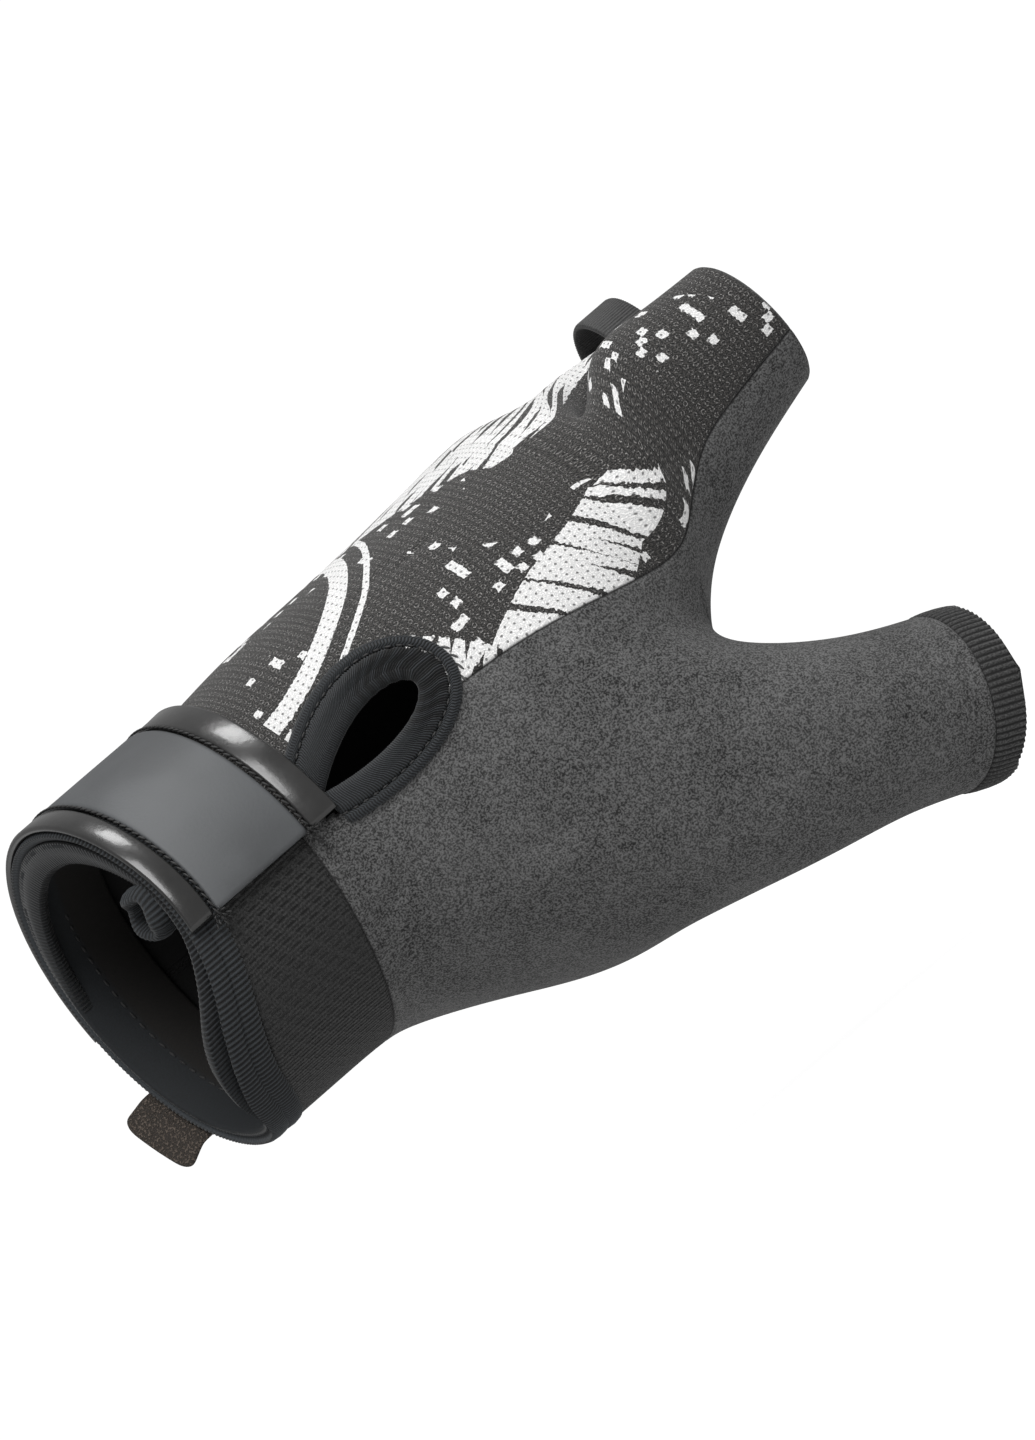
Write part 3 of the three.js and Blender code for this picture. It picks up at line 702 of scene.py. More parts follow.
printed_knit, wire = new_finish("printed_knit")
uv, across, along = weave_places(wire)
ragged = uv.noise(1.1, 2.0, "2D") - 0.5
across_ragged = across + ragged * 0.8
along_ragged = along + ragged * 0.8
spot = wire.node("CombineXYZ", {}, {"X": across_ragged, "Y": along_ragged * 0.7})
wedges = wire.node("TexVoronoi", {"voronoi_dimensions": "2D"}, {
    "Vector": spot, "Scale": 0.042, "Randomness": 1.0}, out="Color")
wedge_light = wedges.node("SeparateColor", {}, {0: wedges}, out=0)
wedge_worn = wedges.node("SeparateColor", {}, {0: wedges}, out=1)
light = (wedge_light > 0.46) * (along > UNDER_STRAP)
leaning = wire.node("Mix", {}, {
    0: wedge_worn > 0.55,
    2: across_ragged * 0.88 - along_ragged * 0.47,
    3: across_ragged * 0.62 + along_ragged * 0.78,
}) / STROKE_PITCH + wedge_light * 7
stroke = leaning.math("FRACT")
stroke_run = wire.node("CombineXYZ", {}, {
    "X": leaning.math("FLOOR") * 3.7, "Y": (along_ragged + across_ragged * 0.3) * 0.085})
stroke_length = stroke_run.noise(1.0, 0.0, "2D")
dark_strokes = (stroke < stroke_length.between(0.42, 0.75) * 0.55) * (stroke_length > 0.44)
bow = wire.node("VectorMath", {"operation": "DISTANCE"}, {
    0: wire.node("CombineXYZ", {}, {"X": across_ragged, "Y": along_ragged}),
    1: BOW_CENTRE,
}, out="Value")
bow_lines = (bow - BOW_RADIUS).math("ABSOLUTE") < BOW_WIDTH / 2
thin_bow = (bow - THIN_BOW_RADIUS).math("ABSOLUTE") < THIN_BOW_WIDTH / 2
block_x = (across_ragged / BLOCK_SIZE).math("FLOOR")
block_y = (along_ragged / BLOCK_SIZE).math("FLOOR")
block = wire.node("CombineXYZ", {}, {"X": block_x * 0.61, "Y": block_y * 0.61})
spatter = (block.noise(1.0, 0.0, "2D") > 0.69) * (uv.noise(0.045, 0.0, "2D") > 0.50)
bows = bow_lines.math("MAXIMUM", thin_bow)
inked = light * (1 - dark_strokes) + (bows + spatter) * (1 - light) * (along > UNDER_STRAP)
print_mask = inked.math("MINIMUM", 1.0)

row_number = (along / DIMPLE_ALONG).math("FLOOR")
half_step = (row_number * 0.5).math("FRACT")
cell_x = (across / DIMPLE_ACROSS + half_step).math("FRACT") - 0.5
cell_y = (along / DIMPLE_ALONG).math("FRACT") - 0.5
cell_lean = cell_x * 1.1 + cell_y * 0.75
cell_run = cell_y * 0.8 - cell_x * 0.45
from_dimple = (cell_lean * cell_lean + cell_run * cell_run * 2.6).math("SQRT")
dimple = 1 - from_dimple.between(0.10, 0.30)
rim = from_dimple.between(0.28, 0.36) * (1 - from_dimple.between(0.40, 0.50))
fuzz = uv.noise(3.4, 2.0, "2D")
yarn = fuzz.between(0.40, 0.66)
white_yarn = (dimple * 0.85).blend(yarn.blend(grey(0.62), grey(0.90, 0.01)), grey(0.10))
black_yarn = (rim * yarn * 0.75).blend(yarn.blend(grey(0.003), grey(0.040, 0.08)), grey(0.34, 0.03))
knit_colour = seam_shade(wire, print_mask.blend(black_yarn, white_yarn))
knit_height = (1 - dimple) * 0.8 + yarn * 0.35
close_finish(wire, knit_colour, 0.88, knit_height, 0.22, Sheen_Weight=0.15)

# Painted shade: the inside of every panel is drawn near black, standing in for the shade inside the glove.
shaded_cloth_inside, wire = new_finish("shaded_cloth_inside")
fibres = object_places(wire).noise(3.0, 2.0)
close_finish(wire, fibres.blend(grey(0.003), grey(0.009)), 0.95, fibres, 0.05)
back_panel = put_in_scene("printed_back", back, "back_panel", "printed_knit", printed_knit, shaded_cloth_inside)
give_wall(back_panel, KNIT_WALL)

# Suede palm
# Palm, palmar sides of the fingers and the thumb are brushed synthetic suede, sewn to the back along both
# sides of the hand. The nap is short and uneven, so light and dark fibres show close together.
SUEDE_WALL = 1.1
palm = cut_piece(PALM)
open_vent(palm)
palm_area = cloth_area(palm)
tuck_edges(palm, SEAM_TUCKS)
suede, wire = new_finish("suede")
places = object_places(wire)
nap = places.noise(3.1, 3.0)
tufts = places.noise(0.8, 2.0)
patchy = places.noise(0.09, 3.0)
nap_light = nap.between(0.39, 0.61) * 0.68 + tufts.between(0.32, 0.68) * 0.17
nap_light = nap_light + patchy.between(0.3, 0.7) * 0.15
suede_colour = seam_shade(wire, nap_light.blend(grey(0.002), grey(0.136)))
close_finish(wire, suede_colour, 0.95, nap + tufts * 0.4, 0.3, Sheen_Weight=0.08)
suede_palm = put_in_scene("suede_palm", palm, "palm_panel", "suede", suede, shaded_cloth_inside)
give_wall(suede_palm, SUEDE_WALL)

# Knit cuff
# The palm side of the wrist is a stretch knit with long ribs and rows of small slanted openings.
CUFF_WALL = 1.1
WALE_PITCH = 0.8
COURSE_PITCH = 0.55
DASH_ROW_PITCH = 1.6
DASH_PITCH = 2.7
cuff = cut_piece(CUFF)
cuff_area = cloth_area(cuff)
tuck_edges(cuff, SEAM_TUCKS)
cuff_knit, wire = new_finish("cuff_knit")
uv, across, along = weave_places(wire)
wale = (across * (2 * math.pi / WALE_PITCH)).math("SINE")
course = along + across * 0.35
loops = (course * (2 * math.pi / COURSE_PITCH)).math("SINE")
row = (across / DASH_ROW_PITCH).math("FLOOR")
in_row = (across / DASH_ROW_PITCH).math("FRACT") - 0.5
dash_run = along / DASH_PITCH + row * 0.38 + in_row * 0.45
in_dash = dash_run.math("FRACT") - 0.5
dash_side = 1 - in_row.math("ABSOLUTE").between(0.10, 0.20)
dash_end = 1 - in_dash.math("ABSOLUTE").between(0.24, 0.34)
dash = dash_side * dash_end
fuzz = uv.noise(2.6, 3.0, "2D")
# The yarn's tone is partly random fibre and partly painted shade: darker in the troughs between wales and
# between loops, where the relief is low.
yarn = fuzz.between(0.35, 0.65) * 0.6 + (wale * 0.5 + 0.5) * 0.25 + (loops * 0.5 + 0.5) * 0.15
cuff_colour = seam_shade(wire, (dash * 0.95).blend(yarn.blend(grey(0.001), grey(0.034)), grey(0.0006)))
cuff_height = wale * 0.35 + loops * 0.2 + fuzz * 0.3 - dash * 1.2
close_finish(wire, cuff_colour, 0.9, cuff_height, 0.3, Sheen_Weight=0.05)
knit_cuff = put_in_scene("knit_cuff", cuff, "cuff_panel", "cuff_knit", cuff_knit, shaded_cloth_inside)
give_wall(knit_cuff, CUFF_WALL)


# Thumb hem
# The thumb opening is finished with a band of close overlock stitches that wrap the suede edge,
# so its rim is lightly scalloped.
def sweep(bm, skin_at, turns, profile, ribs=None, closed=True):
    """Draws a closed profile along the skin. Each profile point is a share across and a height in mm."""
    uv_layer = bm.loops.layers.uv.new("weave")
    rib_layer = bm.verts.layers.float.new("rib")
    ring = None
    first = None
    lengths = [0.0]
    middle_before = None
    bands = []
    steps = len(turns)
    for step in range(steps + 1 if closed else steps):
        turn = turns[step % steps]
        places = []
        grooves = []
        for share, height in profile:
            place, normal = skin_at(turn, share)
            groove = ribs(step % steps, share, height) if ribs else 0.0
            grooves.append(groove)
            places.append(place + normal * (height + groove) * MM)
        middle = sum(places, Vector()) / len(places)
        if middle_before is not None:
            lengths.append(lengths[-1] + (middle - middle_before).length / MM)
        middle_before = middle
        if ring is None:
            circle = bmesh.ops.create_circle(bm, cap_ends=not closed, radius=1.0, segments=len(profile))
            ring = list(circle["verts"])
            for vert, place, groove in zip(ring, places, grooves):
                vert.co = place
                vert[rib_layer] = groove
            first = ring
        else:
            following = grow(bm, ring, places)
            for vert, groove in zip(following, grooves):
                vert[rib_layer] = groove
            bands.append((ring, following, lengths[-2], lengths[-1]))
            ring = following
    for before, after, low, high in bands:
        place_in_ring = {vert: (k, low) for k, vert in enumerate(before)}
        place_in_ring.update({vert: (k, high) for k, vert in enumerate(after)})
        for k, vert in enumerate(before):
            for face in vert.link_faces:
                if len(face.verts) == 4 and all(v in place_in_ring for v in face.verts):
                    for loop in face.loops:
                        number, length = place_in_ring[loop.vert]
                        loop[uv_layer].uv = (length, number)
    if closed:
        bmesh.ops.remove_doubles(bm, verts=ring + first, dist=1e-7)
    else:
        bmesh.ops.contextual_create(bm, geom=ring_edges(ring))
    bmesh.ops.recalc_face_normals(bm, faces=bm.faces)


def turns_of(count, low=0.0, high=2 * math.pi, closed=True):
    steps = count if closed else count - 1
    return [low + (high - low) * k / steps for k in range(count)]


HEM_START = 0.886
HEM_RIBS = 84
HEM_RIB_STEPS = 8
HEM_RIB_DEPTH = 0.28
HEM_PROFILE = [
    (0.02, -0.4), (0.0, 0.05), (0.12, 0.26), (0.35, 0.36), (0.62, 0.36), (0.86, 0.26),
    (0.985, 0.1), (0.99, -0.7), (0.86, -1.3), (0.55, -1.5), (0.2, -1.45), (0.04, -1.1),
]


def hem_skin(turn, share):
    axis, outward = thumb_place(HEM_START + (1 - HEM_START) * min(max(share, 0.01), 0.985), turn)
    return cast(axis, outward)


def rib_groove(step, rib_steps, depth):
    """Height at a step along a ribbed piece: 0 on a rib, minus the depth between two."""
    return depth * (math.cos(2 * math.pi * step / rib_steps) - 1) / 2


def hem_ribs(step, share, height):
    return rib_groove(step, HEM_RIB_STEPS, HEM_RIB_DEPTH)


hem = bmesh.new()
sweep(hem, hem_skin, turns_of(HEM_RIBS * HEM_RIB_STEPS), HEM_PROFILE, hem_ribs)
thumb_thread, wire = new_finish("thumb_thread")
uv, _, _ = weave_places(wire)
fibres = uv.noise(4.0, 2.0, "2D")
thread_colour = fibres.between(0.3, 0.7).blend(grey(0.016), grey(0.062))
# Painted shade: the thread is drawn near black in the grooves between the stitches, read from the rib
# depth.
clear_of_groove_shade = marked(wire, "rib").between(-HEM_RIB_DEPTH, -0.3 * HEM_RIB_DEPTH)
thread_colour = clear_of_groove_shade.blend(grey(0.004), thread_colour)
close_finish(wire, thread_colour, 0.9, fibres, 0.08, Sheen_Weight=0.1)
put_in_scene("thumb_overlock", hem, "thumb_hem", "suede", thumb_thread)

# Wrist binding
# A ribbed stretch tape wraps the edge of the wrist opening, over the knit cuff and under the strap.
# Its inner turn is a second band, which hangs free under the strap and stands off on the palm side.
WRIST_RIBS = 220
WRIST_RIB_STEPS = 6
WRIST_RIB_DEPTH = 0.32
WRIST_TAPE = [
    (0.0, -0.4), (-0.02, 0.10), (0.06, 0.42), (0.25, 0.56), (0.42, 0.48), (0.49, 0.20),
    (0.56, 0.44), (0.75, 0.55), (0.92, 0.38), (1.0, 0.0), (1.0, -1.2), (0.1, -1.35),
]
WRIST_TAPE_WIDTH = 6.2
RIM_CLEAR = 0.3


def round_wrist(turn, along):
    """Skin at a turn round the wrist from the thumb side, at a length in from the rim in millimetres."""
    middle = (SECTIONS[0][2] + SECTIONS[0][3]) / 2 * WRIST_DEPTH
    way = Vector((0, -WRIST_WIDTH * math.cos(turn), WRIST_DEPTH * math.sin(turn)))
    centre = Vector((along - rim_slant(turn, along), 0, middle)) * MM
    return cast(centre, way, centre + way / 2 * MM)


def wrist_skin(turn, share):
    along = max(RIM_CLEAR, RIM_CLEAR + share * (WRIST_TAPE_WIDTH - RIM_CLEAR))
    place, normal = round_wrist(turn, along)
    if share < 0:
        place = place - Vector((RIM_CLEAR * MM, 0, 0))
    return place, normal


def wrist_ribs(step, share, height):
    if height < 0:
        return 0.0
    return rib_groove(step, WRIST_RIB_STEPS, WRIST_RIB_DEPTH)


binding = bmesh.new()
sweep(binding, wrist_skin, turns_of(WRIST_RIBS * WRIST_RIB_STEPS), WRIST_TAPE, wrist_ribs)
rib_tape, wire = new_finish("rib_tape")
fibres = object_places(wire).noise(4.5, 2.0)
# Painted shade: the tape is drawn darkest in the grooves between its ribs, read from the rib depth; the
# rest is random fibre tone.
tape_fibres_and_groove_shade = marked(wire, "rib").between(-0.17, -0.03) * 0.78 + fibres.between(0.3, 0.7) * 0.22
tape_colour = tape_fibres_and_groove_shade.blend(grey(0.0005, -0.1), grey(0.031, -0.16))
close_finish(wire, tape_colour, 0.85, fibres, 0.06, Sheen_Weight=0.1)
put_in_scene("wrist_tape", binding, "wrist_binding", "rib_tape", rib_tape)

INNER_TAPE = [
    (0.0, 0.0), (0.30, -0.1), (0.42, -0.5), (0.34, -0.9), (0.20, -1.0), (0.06, -0.9), (-0.05, -0.45),
]
INNER_TAPE_TOP = -1.35
INNER_TAPE_HANG = 5.0
INNER_TAPE_LEAST = 0.9
INNER_TAPE_PAINTED_SHADE = 0.06
LAP_HANG = 3.2
LAP_OUT = 2.6
LAP_TURN = math.radians(332.0)
LAP_SPREAD = math.radians(30.0)


def lap_share(turn):
    from_lap = (turn - LAP_TURN + math.pi) % (2 * math.pi) - math.pi
    return math.exp(-((from_lap / LAP_SPREAD) ** 2))


def inner_tape_skin(turn, share):
    place, normal = round_wrist(turn, RIM_CLEAR + max(share, 0.0) * WRIST_TAPE_WIDTH)
    stand_out = LAP_OUT * lap_share(turn) * max(0.0, 1 - max(share, 0.0) / 0.45)
    return place - Vector((stand_out * MM, 0, 0)), normal


def inner_tape_hang(step, share, height):
    """How far the tape hangs: most below the strap, less at the lap, and it lies close elsewhere."""
    turn = 2 * math.pi * step / (WRIST_RIBS * WRIST_RIB_STEPS)
    over_back = max(0.0, math.sin(turn)) ** 0.8 * INNER_TAPE_HANG
    hang = max(over_back, LAP_HANG * lap_share(turn), INNER_TAPE_LEAST)
    return INNER_TAPE_TOP + height * (hang - 1) + rib_groove(step, WRIST_RIB_STEPS, WRIST_RIB_DEPTH)


inner = bmesh.new()
sweep(inner, inner_tape_skin, turns_of(WRIST_RIBS * WRIST_RIB_STEPS), INNER_TAPE, inner_tape_hang)
rib_of = inner.verts.layers.float["rib"]
# Painted shade: the inner band's rib marks are lowered by a fixed amount, so the same tape is drawn darker
# here, where it lies in shade under the strap.
for number, vert in enumerate(inner.verts):
    rib_step = number // len(INNER_TAPE)
    vert[rib_of] = rib_groove(rib_step, WRIST_RIB_STEPS, WRIST_RIB_DEPTH) - INNER_TAPE_PAINTED_SHADE
put_in_scene("wrist_rib_band", inner, None, "rib_tape", rib_tape)

# Wrist facing
# A smooth facing lines the opening and is held by a row of stitches near its rim. It is navy at the rim and
# goes to brown black further in; its colours are darkened as painted shade inside the opening, most further
# in.
FACING_DEPTH = 14.6
FACING_NAVY_END = (4.2, 5.6)
FACING_INSIDE = 2.62
FACING_PROFILE = [
    (0.0, -1.75), (0.03, -1.7), (0.5, -1.7), (0.97, -1.7), (1.0, -1.9),
    (1.0, -2.4), (0.97, -2.6), (0.5, -2.6), (0.03, -2.6), (0.0, -2.4),
]


def facing_skin(turn, share):
    return round_wrist(turn, RIM_CLEAR + share * (FACING_DEPTH - RIM_CLEAR))


facing = bmesh.new()
sweep(facing, facing_skin, turns_of(160), FACING_PROFILE)
facing_cloth, wire = new_finish("facing_cloth")
places = object_places(wire)
fibres = places.noise(3.5, 2.0)
# Painted shade: both colours are darkened for the shade inside the opening, and the brown black further in
# is darker still.
navy = fibres.blend(grey(0.004, -0.1), grey(0.011, -0.3))
shaded_brown_black = fibres.blend(grey(0.002, 0.2), grey(0.006, 0.25))
from_rim = places.node("SeparateXYZ", {}, {0: places}, out=0)
facing_colour_and_shade = from_rim.between(*FACING_NAVY_END).blend(navy, shaded_brown_black)
close_finish(wire, facing_colour_and_shade, 0.85, fibres, 0.05)
put_in_scene("wrist_lining", facing, "wrist_facing", "facing_cloth", facing_cloth)


def sew(bm, places, pitch, length, thickness, slant):
    """Lays stitches of thread along a line of places and normals, each turned a little across it."""
    gone = 0.0
    for (first, normal), (second, _) in zip(places, places[1:]):
        step = (second - first).length / MM
        while gone < step:
            spot = first.lerp(second, gone / step)
            way = (second - first).normalized()
            side = normal.cross(way).normalized()
            lie = (way + side * slant).normalized()
            turned = Matrix((lie, normal.cross(lie).normalized(), normal)).transposed().to_4x4()
            size = Matrix.Diagonal((length / 2 * MM, thickness / 2 * MM, thickness / 2 * MM, 1.0))
            place = Matrix.Translation(spot) @ turned @ size
            bmesh.ops.create_icosphere(bm, subdivisions=2, radius=1.0, matrix=place)
            gone += pitch
        gone -= step


def thread_finish(name, dark, light, roughness):
    thread, wire = new_finish(name)
    fibres = object_places(wire).noise(6.0, 2.0)
    close_finish(wire, fibres.between(0.3, 0.7).blend(grey(dark), grey(light)), roughness, fibres, 0.08)
    return thread


black_thread = thread_finish("black_thread", 0.004, 0.022, 0.6)
lining_seam = bmesh.new()
line = []
for turn in turns_of(120, math.radians(140.0), math.radians(352.0), closed=False):
    place, normal = facing_skin(turn, 0.42)
    line.append((place - normal * FACING_INSIDE * MM, -normal))
sew(lining_seam, line, pitch=2.3, length=1.5, thickness=0.45, slant=0.1)
put_in_scene("lining_stitches", lining_seam, None, "facing_cloth", black_thread)

# Wrist strap
# The strap is a matte grey band with a bonded glossy trim along each edge, and a row of stitches in
# each joint. It lies over the back of the wrist, from the thumb-side seam to the far side.
STRAP_LIFT = 0.6
STRAP_WALL = 1.4
STRAP_SPAN = (5.7, 24.9)
TRIM_WALL = 1.35
TRIM_SPANS = {"trim_wrist_side": (0.3, 4.8), "trim_hand_side": (25.8, 31.3)}
STRAP_SEAMS = (5.25, 25.35)
STRAP_TURNS = turns_of(120, math.radians(4.5), math.radians(181.0), closed=False)


def strap_skin(low, high):
    def at(turn, share):
        return round_wrist(turn, max(RIM_CLEAR, low + share * (high - low)))
    return at


def flat_profile(bottom, top, corner):
    """Cross-section of a flat band with rounded edges. The corner is a share of its width."""
    middle = (bottom + top) / 2
    quarter = (top - bottom) / 4
    shoulder = top - quarter * 0.4
    return [
        (0.0, middle - quarter), (0.0, middle + quarter), (corner * 0.4, shoulder), (corner, top),
        (0.5, top), (1 - corner, top), (1 - corner * 0.4, shoulder), (1.0, middle + quarter),
        (1.0, middle - quarter), (1 - corner, bottom), (0.5, bottom), (corner, bottom),
    ]


strap = bmesh.new()
profile = flat_profile(STRAP_LIFT, STRAP_LIFT + STRAP_WALL, 0.04)
sweep(strap, strap_skin(*STRAP_SPAN), STRAP_TURNS, profile, closed=False)
matte_band, wire = new_finish("matte_band")
places = object_places(wire)
grain = places.noise(1.8, 4.0)
broad = places.noise(0.05, 2.0)
band_light = grain * 0.35 + broad.between(0.35, 0.65) * 0.65
band_colour = band_light.blend(grey(0.052, -0.05), grey(0.086, -0.05))
close_finish(wire, band_colour, 0.52 + grain * 0.15, grain, 0.04)
put_in_scene("strap_band", strap, "wrist_strap", "matte_band", matte_band)

gloss_trim, wire = new_finish("gloss_trim")
places = object_places(wire)
orange_peel = places.noise(0.9, 2.0)
smears = places.noise(0.25, 3.0)
trim_colour = smears.blend(grey(0.014, 0.01), grey(0.028, 0.01))
close_finish(wire, trim_colour, 0.20 + smears * 0.10, orange_peel, 0.03, Coat_Weight=0.2)
profile = flat_profile(STRAP_LIFT, STRAP_LIFT + TRIM_WALL, 0.09)
for (trim_name, span), trim_node in zip(TRIM_SPANS.items(), ("strap_trim_wrist", "strap_trim_hand")):
    trim = bmesh.new()
    sweep(trim, strap_skin(*span), STRAP_TURNS, profile, closed=False)
    put_in_scene(trim_name, trim, trim_node, "gloss_trim", gloss_trim)

strap_seams = bmesh.new()
for seam_along in STRAP_SEAMS:
    line = []
    for turn in STRAP_TURNS:
        place, normal = round_wrist(turn, seam_along)
        line.append((place + normal * (STRAP_LIFT + STRAP_WALL + 0.05) * MM, normal))
    sew(strap_seams, line, pitch=1.5, length=1.55, thickness=0.42, slant=0.32)
put_in_scene("strap_stitches", strap_seams, None, "matte_band", black_thread)

tufts_of_thread = bmesh.new()
TUFT_TURN = math.radians(4.2)
TUFT_THREADS = (6, 9)
THREAD_JOINT = 0.9
for tuft, (tuft_along, tuft_threads) in enumerate(zip(STRAP_SEAMS, TUFT_THREADS)):
    root, normal = round_wrist(TUFT_TURN, tuft_along)
    root = root + normal * (STRAP_LIFT + STRAP_WALL / 2) * MM
    for thread in range(tuft_threads):
        lean = thread * 2.4 + tuft
        lie = Vector((math.cos(lean) * 0.9, -0.7, math.sin(lean) - 0.6)).normalized()
        for joint in range(3):
            reach = lie * (THREAD_JOINT * MM)
            turned = lie.to_track_quat("Z", "Y").to_matrix().to_4x4()
            place = Matrix.Translation(root + reach * (joint + 0.5)) @ turned
            bmesh.ops.create_cone(tufts_of_thread, cap_ends=True, segments=6, radius1=0.16 * MM,
                                  radius2=0.15 * MM, depth=1.0 * MM, matrix=place)
            lie = (lie + Vector((0.2 * math.sin(lean * 3 + joint), 0.1, -0.35))).normalized()
put_in_scene("strap_tufts", tufts_of_thread, None, "matte_band", black_thread)

# Vent binding
# The vent beside the thumb is bound twice: a thin navy roll lies on the panels, and a wider ribbed band
# inside it turns down into the opening. Both run under the strap.
VENT_RIBS = 140
VENT_RIB_STEPS = 6
VENT_STEPS = VENT_RIBS * VENT_RIB_STEPS
STRAP_CLEAR = 1.2
INNER_SPAN = (-0.8, 4.1)
VENT_GROOVE = 4.12
ROLL_SPAN = (4.15, VENT_BAND)
EDGE_SEAM = VENT_BAND + 0.35


def vent_turns(grown, count):
    """Turns round the outline that stay clear of the strap, evenly spaced along it."""
    fine = [k * 2 * math.pi / 720 for k in range(8, 713)]
    places = [(turn, teardrop(turn, grown)) for turn in fine]
    kept = [(turn, place) for turn, place in places if place.x > STRAP_END + STRAP_CLEAR]
    lengths = [0.0]
    for (_, first), (_, second) in zip(kept, kept[1:]):
        lengths.append(lengths[-1] + (second - first).length)
    found = []
    k = 0
    for step in range(count):
        goal = lengths[-1] * step / (count - 1)
        while k < len(lengths) - 2 and lengths[k + 1] < goal:
            k += 1
        part = (goal - lengths[k]) / max(lengths[k + 1] - lengths[k], 1e-9)
        found.append(kept[k][0] + (kept[k + 1][0] - kept[k][0]) * part)
    return found


def vent_skin(tables, low, high):
    """Skin under the binding. Low and high are how far the outline is grown at the band's two edges."""
    grades = sorted(tables)

    def at(step, share):
        grown = low + share * (high - low)
        nearest = min(grades, key=lambda grade: abs(grade - grown))
        spot = teardrop(tables[nearest][step], grown)
        return cast(Vector((spot.x * MM, -0.2, spot.y * MM)), Vector((0, 1, 0)))
    return at


def roll_ribs(step, share, height):
    return rib_groove(step, VENT_RIB_STEPS, 0.24)


def gathered_ribs(step, share, height):
    """Ribs of the inner band, which bunch into deeper gathers round the round end."""
    from_end = (step - VENT_STEPS / 2) / (0.16 * VENT_STEPS)
    gather = rib_groove(step, 5.3 * VENT_RIB_STEPS, 0.34 * math.exp(-(from_end ** 2)))
    return rib_groove(step, VENT_RIB_STEPS, 0.30) + gather


vent_tables = {grade: vent_turns(grade, VENT_STEPS) for grade in (0.0, 1.0, 2.0, 3.0, 4.0, 5.0, 6.0)}
INNER_BAND = [
    (0.0, -1.6), (0.02, -0.9), (0.10, -0.25), (0.24, 0.25), (0.45, 0.62), (0.7, 0.85), (0.9, 0.8),
    (1.0, 0.35), (1.0, -1.2), (0.6, -1.6), (0.2, -2.1),
]
OUTER_ROLL = [
    (0.0, 0.2), (0.08, 0.7), (0.3, 1.02), (0.6, 1.05), (0.88, 0.75), (1.0, 0.15), (0.95, -0.5),
    (0.5, -0.9), (0.05, -0.6),
]
band = bmesh.new()
sweep(band, vent_skin(vent_tables, *INNER_SPAN), range(VENT_STEPS), INNER_BAND, gathered_ribs, closed=False)
put_in_scene("vent_band", band, "keyhole_binding", "rib_tape", rib_tape)
roll = bmesh.new()
sweep(roll, vent_skin(vent_tables, *ROLL_SPAN), range(VENT_STEPS), OUTER_ROLL, roll_ribs, closed=False)
put_in_scene("vent_roll", roll, None, "rib_tape", rib_tape)
vent_seam = bmesh.new()
groove_skin = vent_skin(vent_tables, VENT_GROOVE, VENT_GROOVE)
line = []
for step in range(0, VENT_STEPS, VENT_RIB_STEPS):
    place, normal = groove_skin(step, 0.0)
    line.append((place + normal * 0.55 * MM, normal))
sew(vent_seam, line, pitch=1.9, length=1.2, thickness=0.4, slant=0.0)
put_in_scene("vent_stitches", vent_seam, None, "rib_tape", black_thread)
grey_thread = thread_finish("grey_thread", 0.030, 0.095, 0.7)
outer_seam = bmesh.new()
edge_skin = vent_skin(vent_tables, EDGE_SEAM, EDGE_SEAM)
line = []
for step in range(VENT_STEPS // 2, VENT_STEPS, VENT_RIB_STEPS):
    place, normal = edge_skin(step, 0.0)
    line.append((place + normal * 0.05 * MM, normal))
sew(outer_seam, line, pitch=2.1, length=1.7, thickness=0.42, slant=0.55)
put_in_scene("vent_edge_stitches", outer_seam, None, "suede", grey_thread)

# Pull loop
# A short length of black webbing is sewn across the back of the middle finger as a loop, for pulling the
# glove off. It arches clear of the cloth.
LOOP_WIDTH = 7.5
LOOP_SPAN = 23.0
LOOP_RISE = 6.1
LOOP_SINK = 11.0
LOOP_THICKNESS = 1.1
LOOP_SET_BACK = 8.9
LOOP_FOOT = math.radians(34.0)
middle_finger = FINGERS[1]
loop_across = middle_finger[0] * PALM_WIDTH
loop_along = STRAP_END + PALM_LENGTH + middle_finger[1] - LOOP_SET_BACK - LOOP_WIDTH
loop_base = middle_finger[5] * WRIST_DEPTH + FINGER_DEPTH / 2 * middle_finger[3] - LOOP_SINK
LOOP_RIBS = 44
LOOP_RIB_STEPS = 6


def loop_skin(turn, share):
    place = Vector((
        loop_along + share * LOOP_WIDTH,
        loop_across + (LOOP_SPAN / 2 - LOOP_THICKNESS) * math.cos(turn),
        loop_base + (LOOP_RISE + LOOP_SINK - LOOP_THICKNESS) * math.sin(turn),
    )) * MM
    normal = Vector((0, math.cos(turn) / LOOP_SPAN * 2, math.sin(turn) / (LOOP_RISE + LOOP_SINK)))
    return place, normal.normalized()


def loop_ribs(step, share, height):
    return rib_groove(step, LOOP_RIB_STEPS, 0.12)


pull = bmesh.new()
loop_turns = turns_of(LOOP_RIBS * LOOP_RIB_STEPS, LOOP_FOOT, math.pi - LOOP_FOOT, closed=False)
sweep(pull, loop_skin, loop_turns, flat_profile(0.0, LOOP_THICKNESS, 0.08), loop_ribs, closed=False)
webbing, wire = new_finish("webbing")
fibres = object_places(wire).noise(5.0, 2.0)
webbing_colour = fibres.between(0.3, 0.7).blend(grey(0.008), grey(0.030))
close_finish(wire, webbing_colour, 0.6, fibres, 0.06, Sheen_Weight=0.1)
put_in_scene("pull_webbing", pull, "pull_loop", "webbing", webbing)

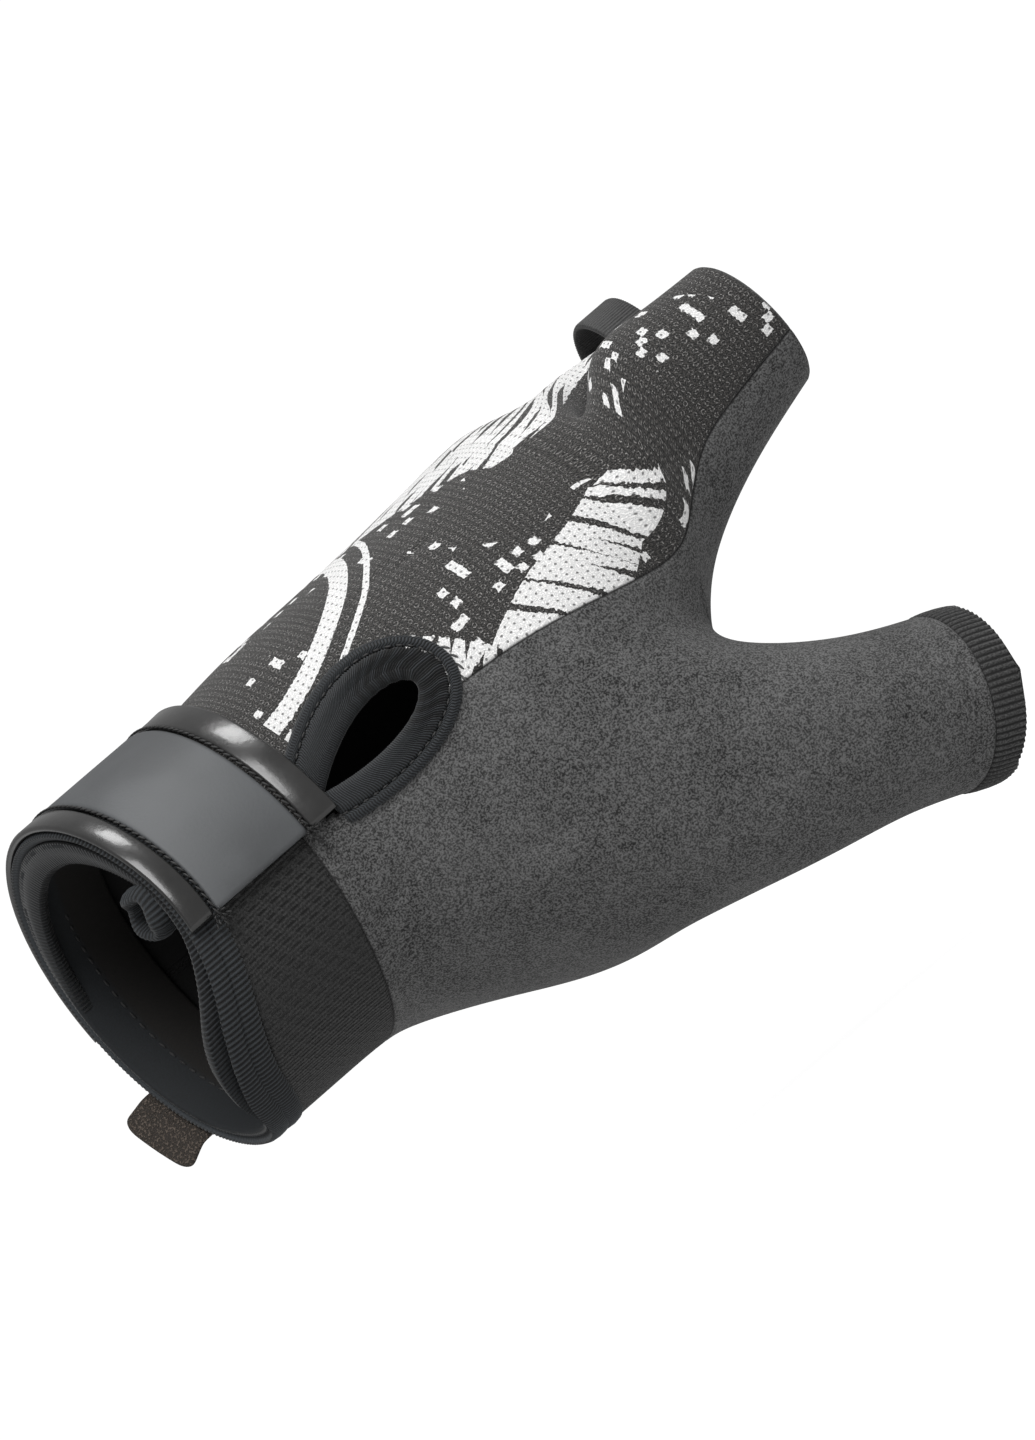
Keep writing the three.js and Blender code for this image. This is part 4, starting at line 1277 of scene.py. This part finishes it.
# Hook tab
# The strap's far end carries a stiff tab of hook cloth. It lies outside on the cuff on the far side, and
# its rounded end bends out past the rim, where the camera sees it.
TAB_WIDTH = 14.0
TAB_SEAT = 8.5
TAB_REACH = 5.2
TAB_FLARE = 3.0
TAB_LIFT = 0.7
TAB_THICKNESS = 1.3
TAB_TURN = math.radians(35.5)
TAB_CELLS = 6
TAB_ROWS = [
    (1.0, 0.00, 0.00, 1.00),
    (0.5, 0.00, 0.00, 1.00),
    (0.0, 0.14, 0.00, 1.00),
    (0.0, 0.34, 0.14, 1.00),
    (0.0, 0.66, 0.56, 1.00),
    (0.0, 0.93, 0.90, 1.02),
    (0.0, 1.05, 1.03, 0.74),
]


def tab_place(row, column):
    """A row holds shares of the tab's seat, reach, flare and width."""
    seat, reach, flare, width = TAB_ROWS[row]
    middle = (SECTIONS[0][2] + SECTIONS[0][3]) / 2 * WRIST_DEPTH
    half_depth = (SECTIONS[0][2] - SECTIONS[0][3]) / 2 * WRIST_DEPTH
    turn = TAB_TURN + (column / TAB_CELLS - 0.5) * TAB_WIDTH * width / half_depth
    along = seat * TAB_SEAT - reach * TAB_REACH
    out = TAB_LIFT + flare * TAB_FLARE
    return Vector((
        along - rim_slant(math.pi + turn, along),
        (WRIST_WIDTH / 2 + out) * math.cos(turn),
        middle - (half_depth + out) * math.sin(turn),
    )) * MM


tab = bmesh.new()
grid = bmesh.ops.create_grid(tab, x_segments=TAB_CELLS, y_segments=TAB_CELLS, size=0.5)["verts"]
for vert in grid:
    vert.co = tab_place(round((vert.co.x + 0.5) * TAB_CELLS), round((vert.co.y + 0.5) * TAB_CELLS))
bmesh.ops.recalc_face_normals(tab, faces=tab.faces)
tab.normal_update()
if tab.faces[0].normal.y < 0:
    bmesh.ops.reverse_faces(tab, faces=tab.faces)
hook_cloth, wire = new_finish("hook_cloth")
places = object_places(wire)
hooks = places.noise(2.6, 2.0).between(0.4, 0.62)
hook_colour = hooks.blend((0.020, 0.015, 0.011, 1.0), (0.085, 0.066, 0.052, 1.0))
close_finish(wire, hook_colour, 0.8, hooks, 0.35)
hook_tab = put_in_scene("hook_tab", tab, "closure_tab", "hook_cloth", hook_cloth)
tab_wall = hook_tab.modifiers.new("wall", "SOLIDIFY")
tab_wall.thickness = TAB_THICKNESS * MM
tab_wall.offset = 1.0
tab_round = hook_tab.modifiers.new("round", "SUBSURF")
tab_round.levels = 3
tab_round.render_levels = 3

# Slit binding
# Where the slit of the opening ends, its ribbed tape is gathered and folded into the wrist.
FOLD_RADIUS = 4.8
FOLD_MIDDLE = Vector((0.0, -23.4, 9.4))
FOLD_RIBS = 34
FOLD_RIB_STEPS = 6
FOLD_PROFILE = [
    (0.0, -1.0), (0.06, -0.3), (0.25, 0.25), (0.5, 0.45), (0.75, 0.25),
    (0.94, -0.3), (1.0, -1.0), (0.9, -1.7), (0.5, -2.1), (0.1, -1.7),
]
FOLD_WIDTH = 5.4


def fold_skin(turn, share):
    uneven = 1 + 0.10 * math.cos(2 * turn + 0.6) + 0.05 * math.cos(5 * turn)
    ray_out = Vector((0.0, math.cos(turn), math.sin(turn)))
    place = FOLD_MIDDLE + ray_out * (FOLD_RADIUS * uneven)
    place.x += (share - 0.5) * FOLD_WIDTH + 0.5 * math.sin(3 * turn)
    return place * MM, ray_out


def fold_ribs(step, share, height):
    return rib_groove(step, FOLD_RIB_STEPS, 0.24)


fold = bmesh.new()
sweep(fold, fold_skin, turns_of(FOLD_RIBS * FOLD_RIB_STEPS), FOLD_PROFILE, fold_ribs)
put_in_scene("slit_gather", fold, "slit_binding", "rib_tape", rib_tape)
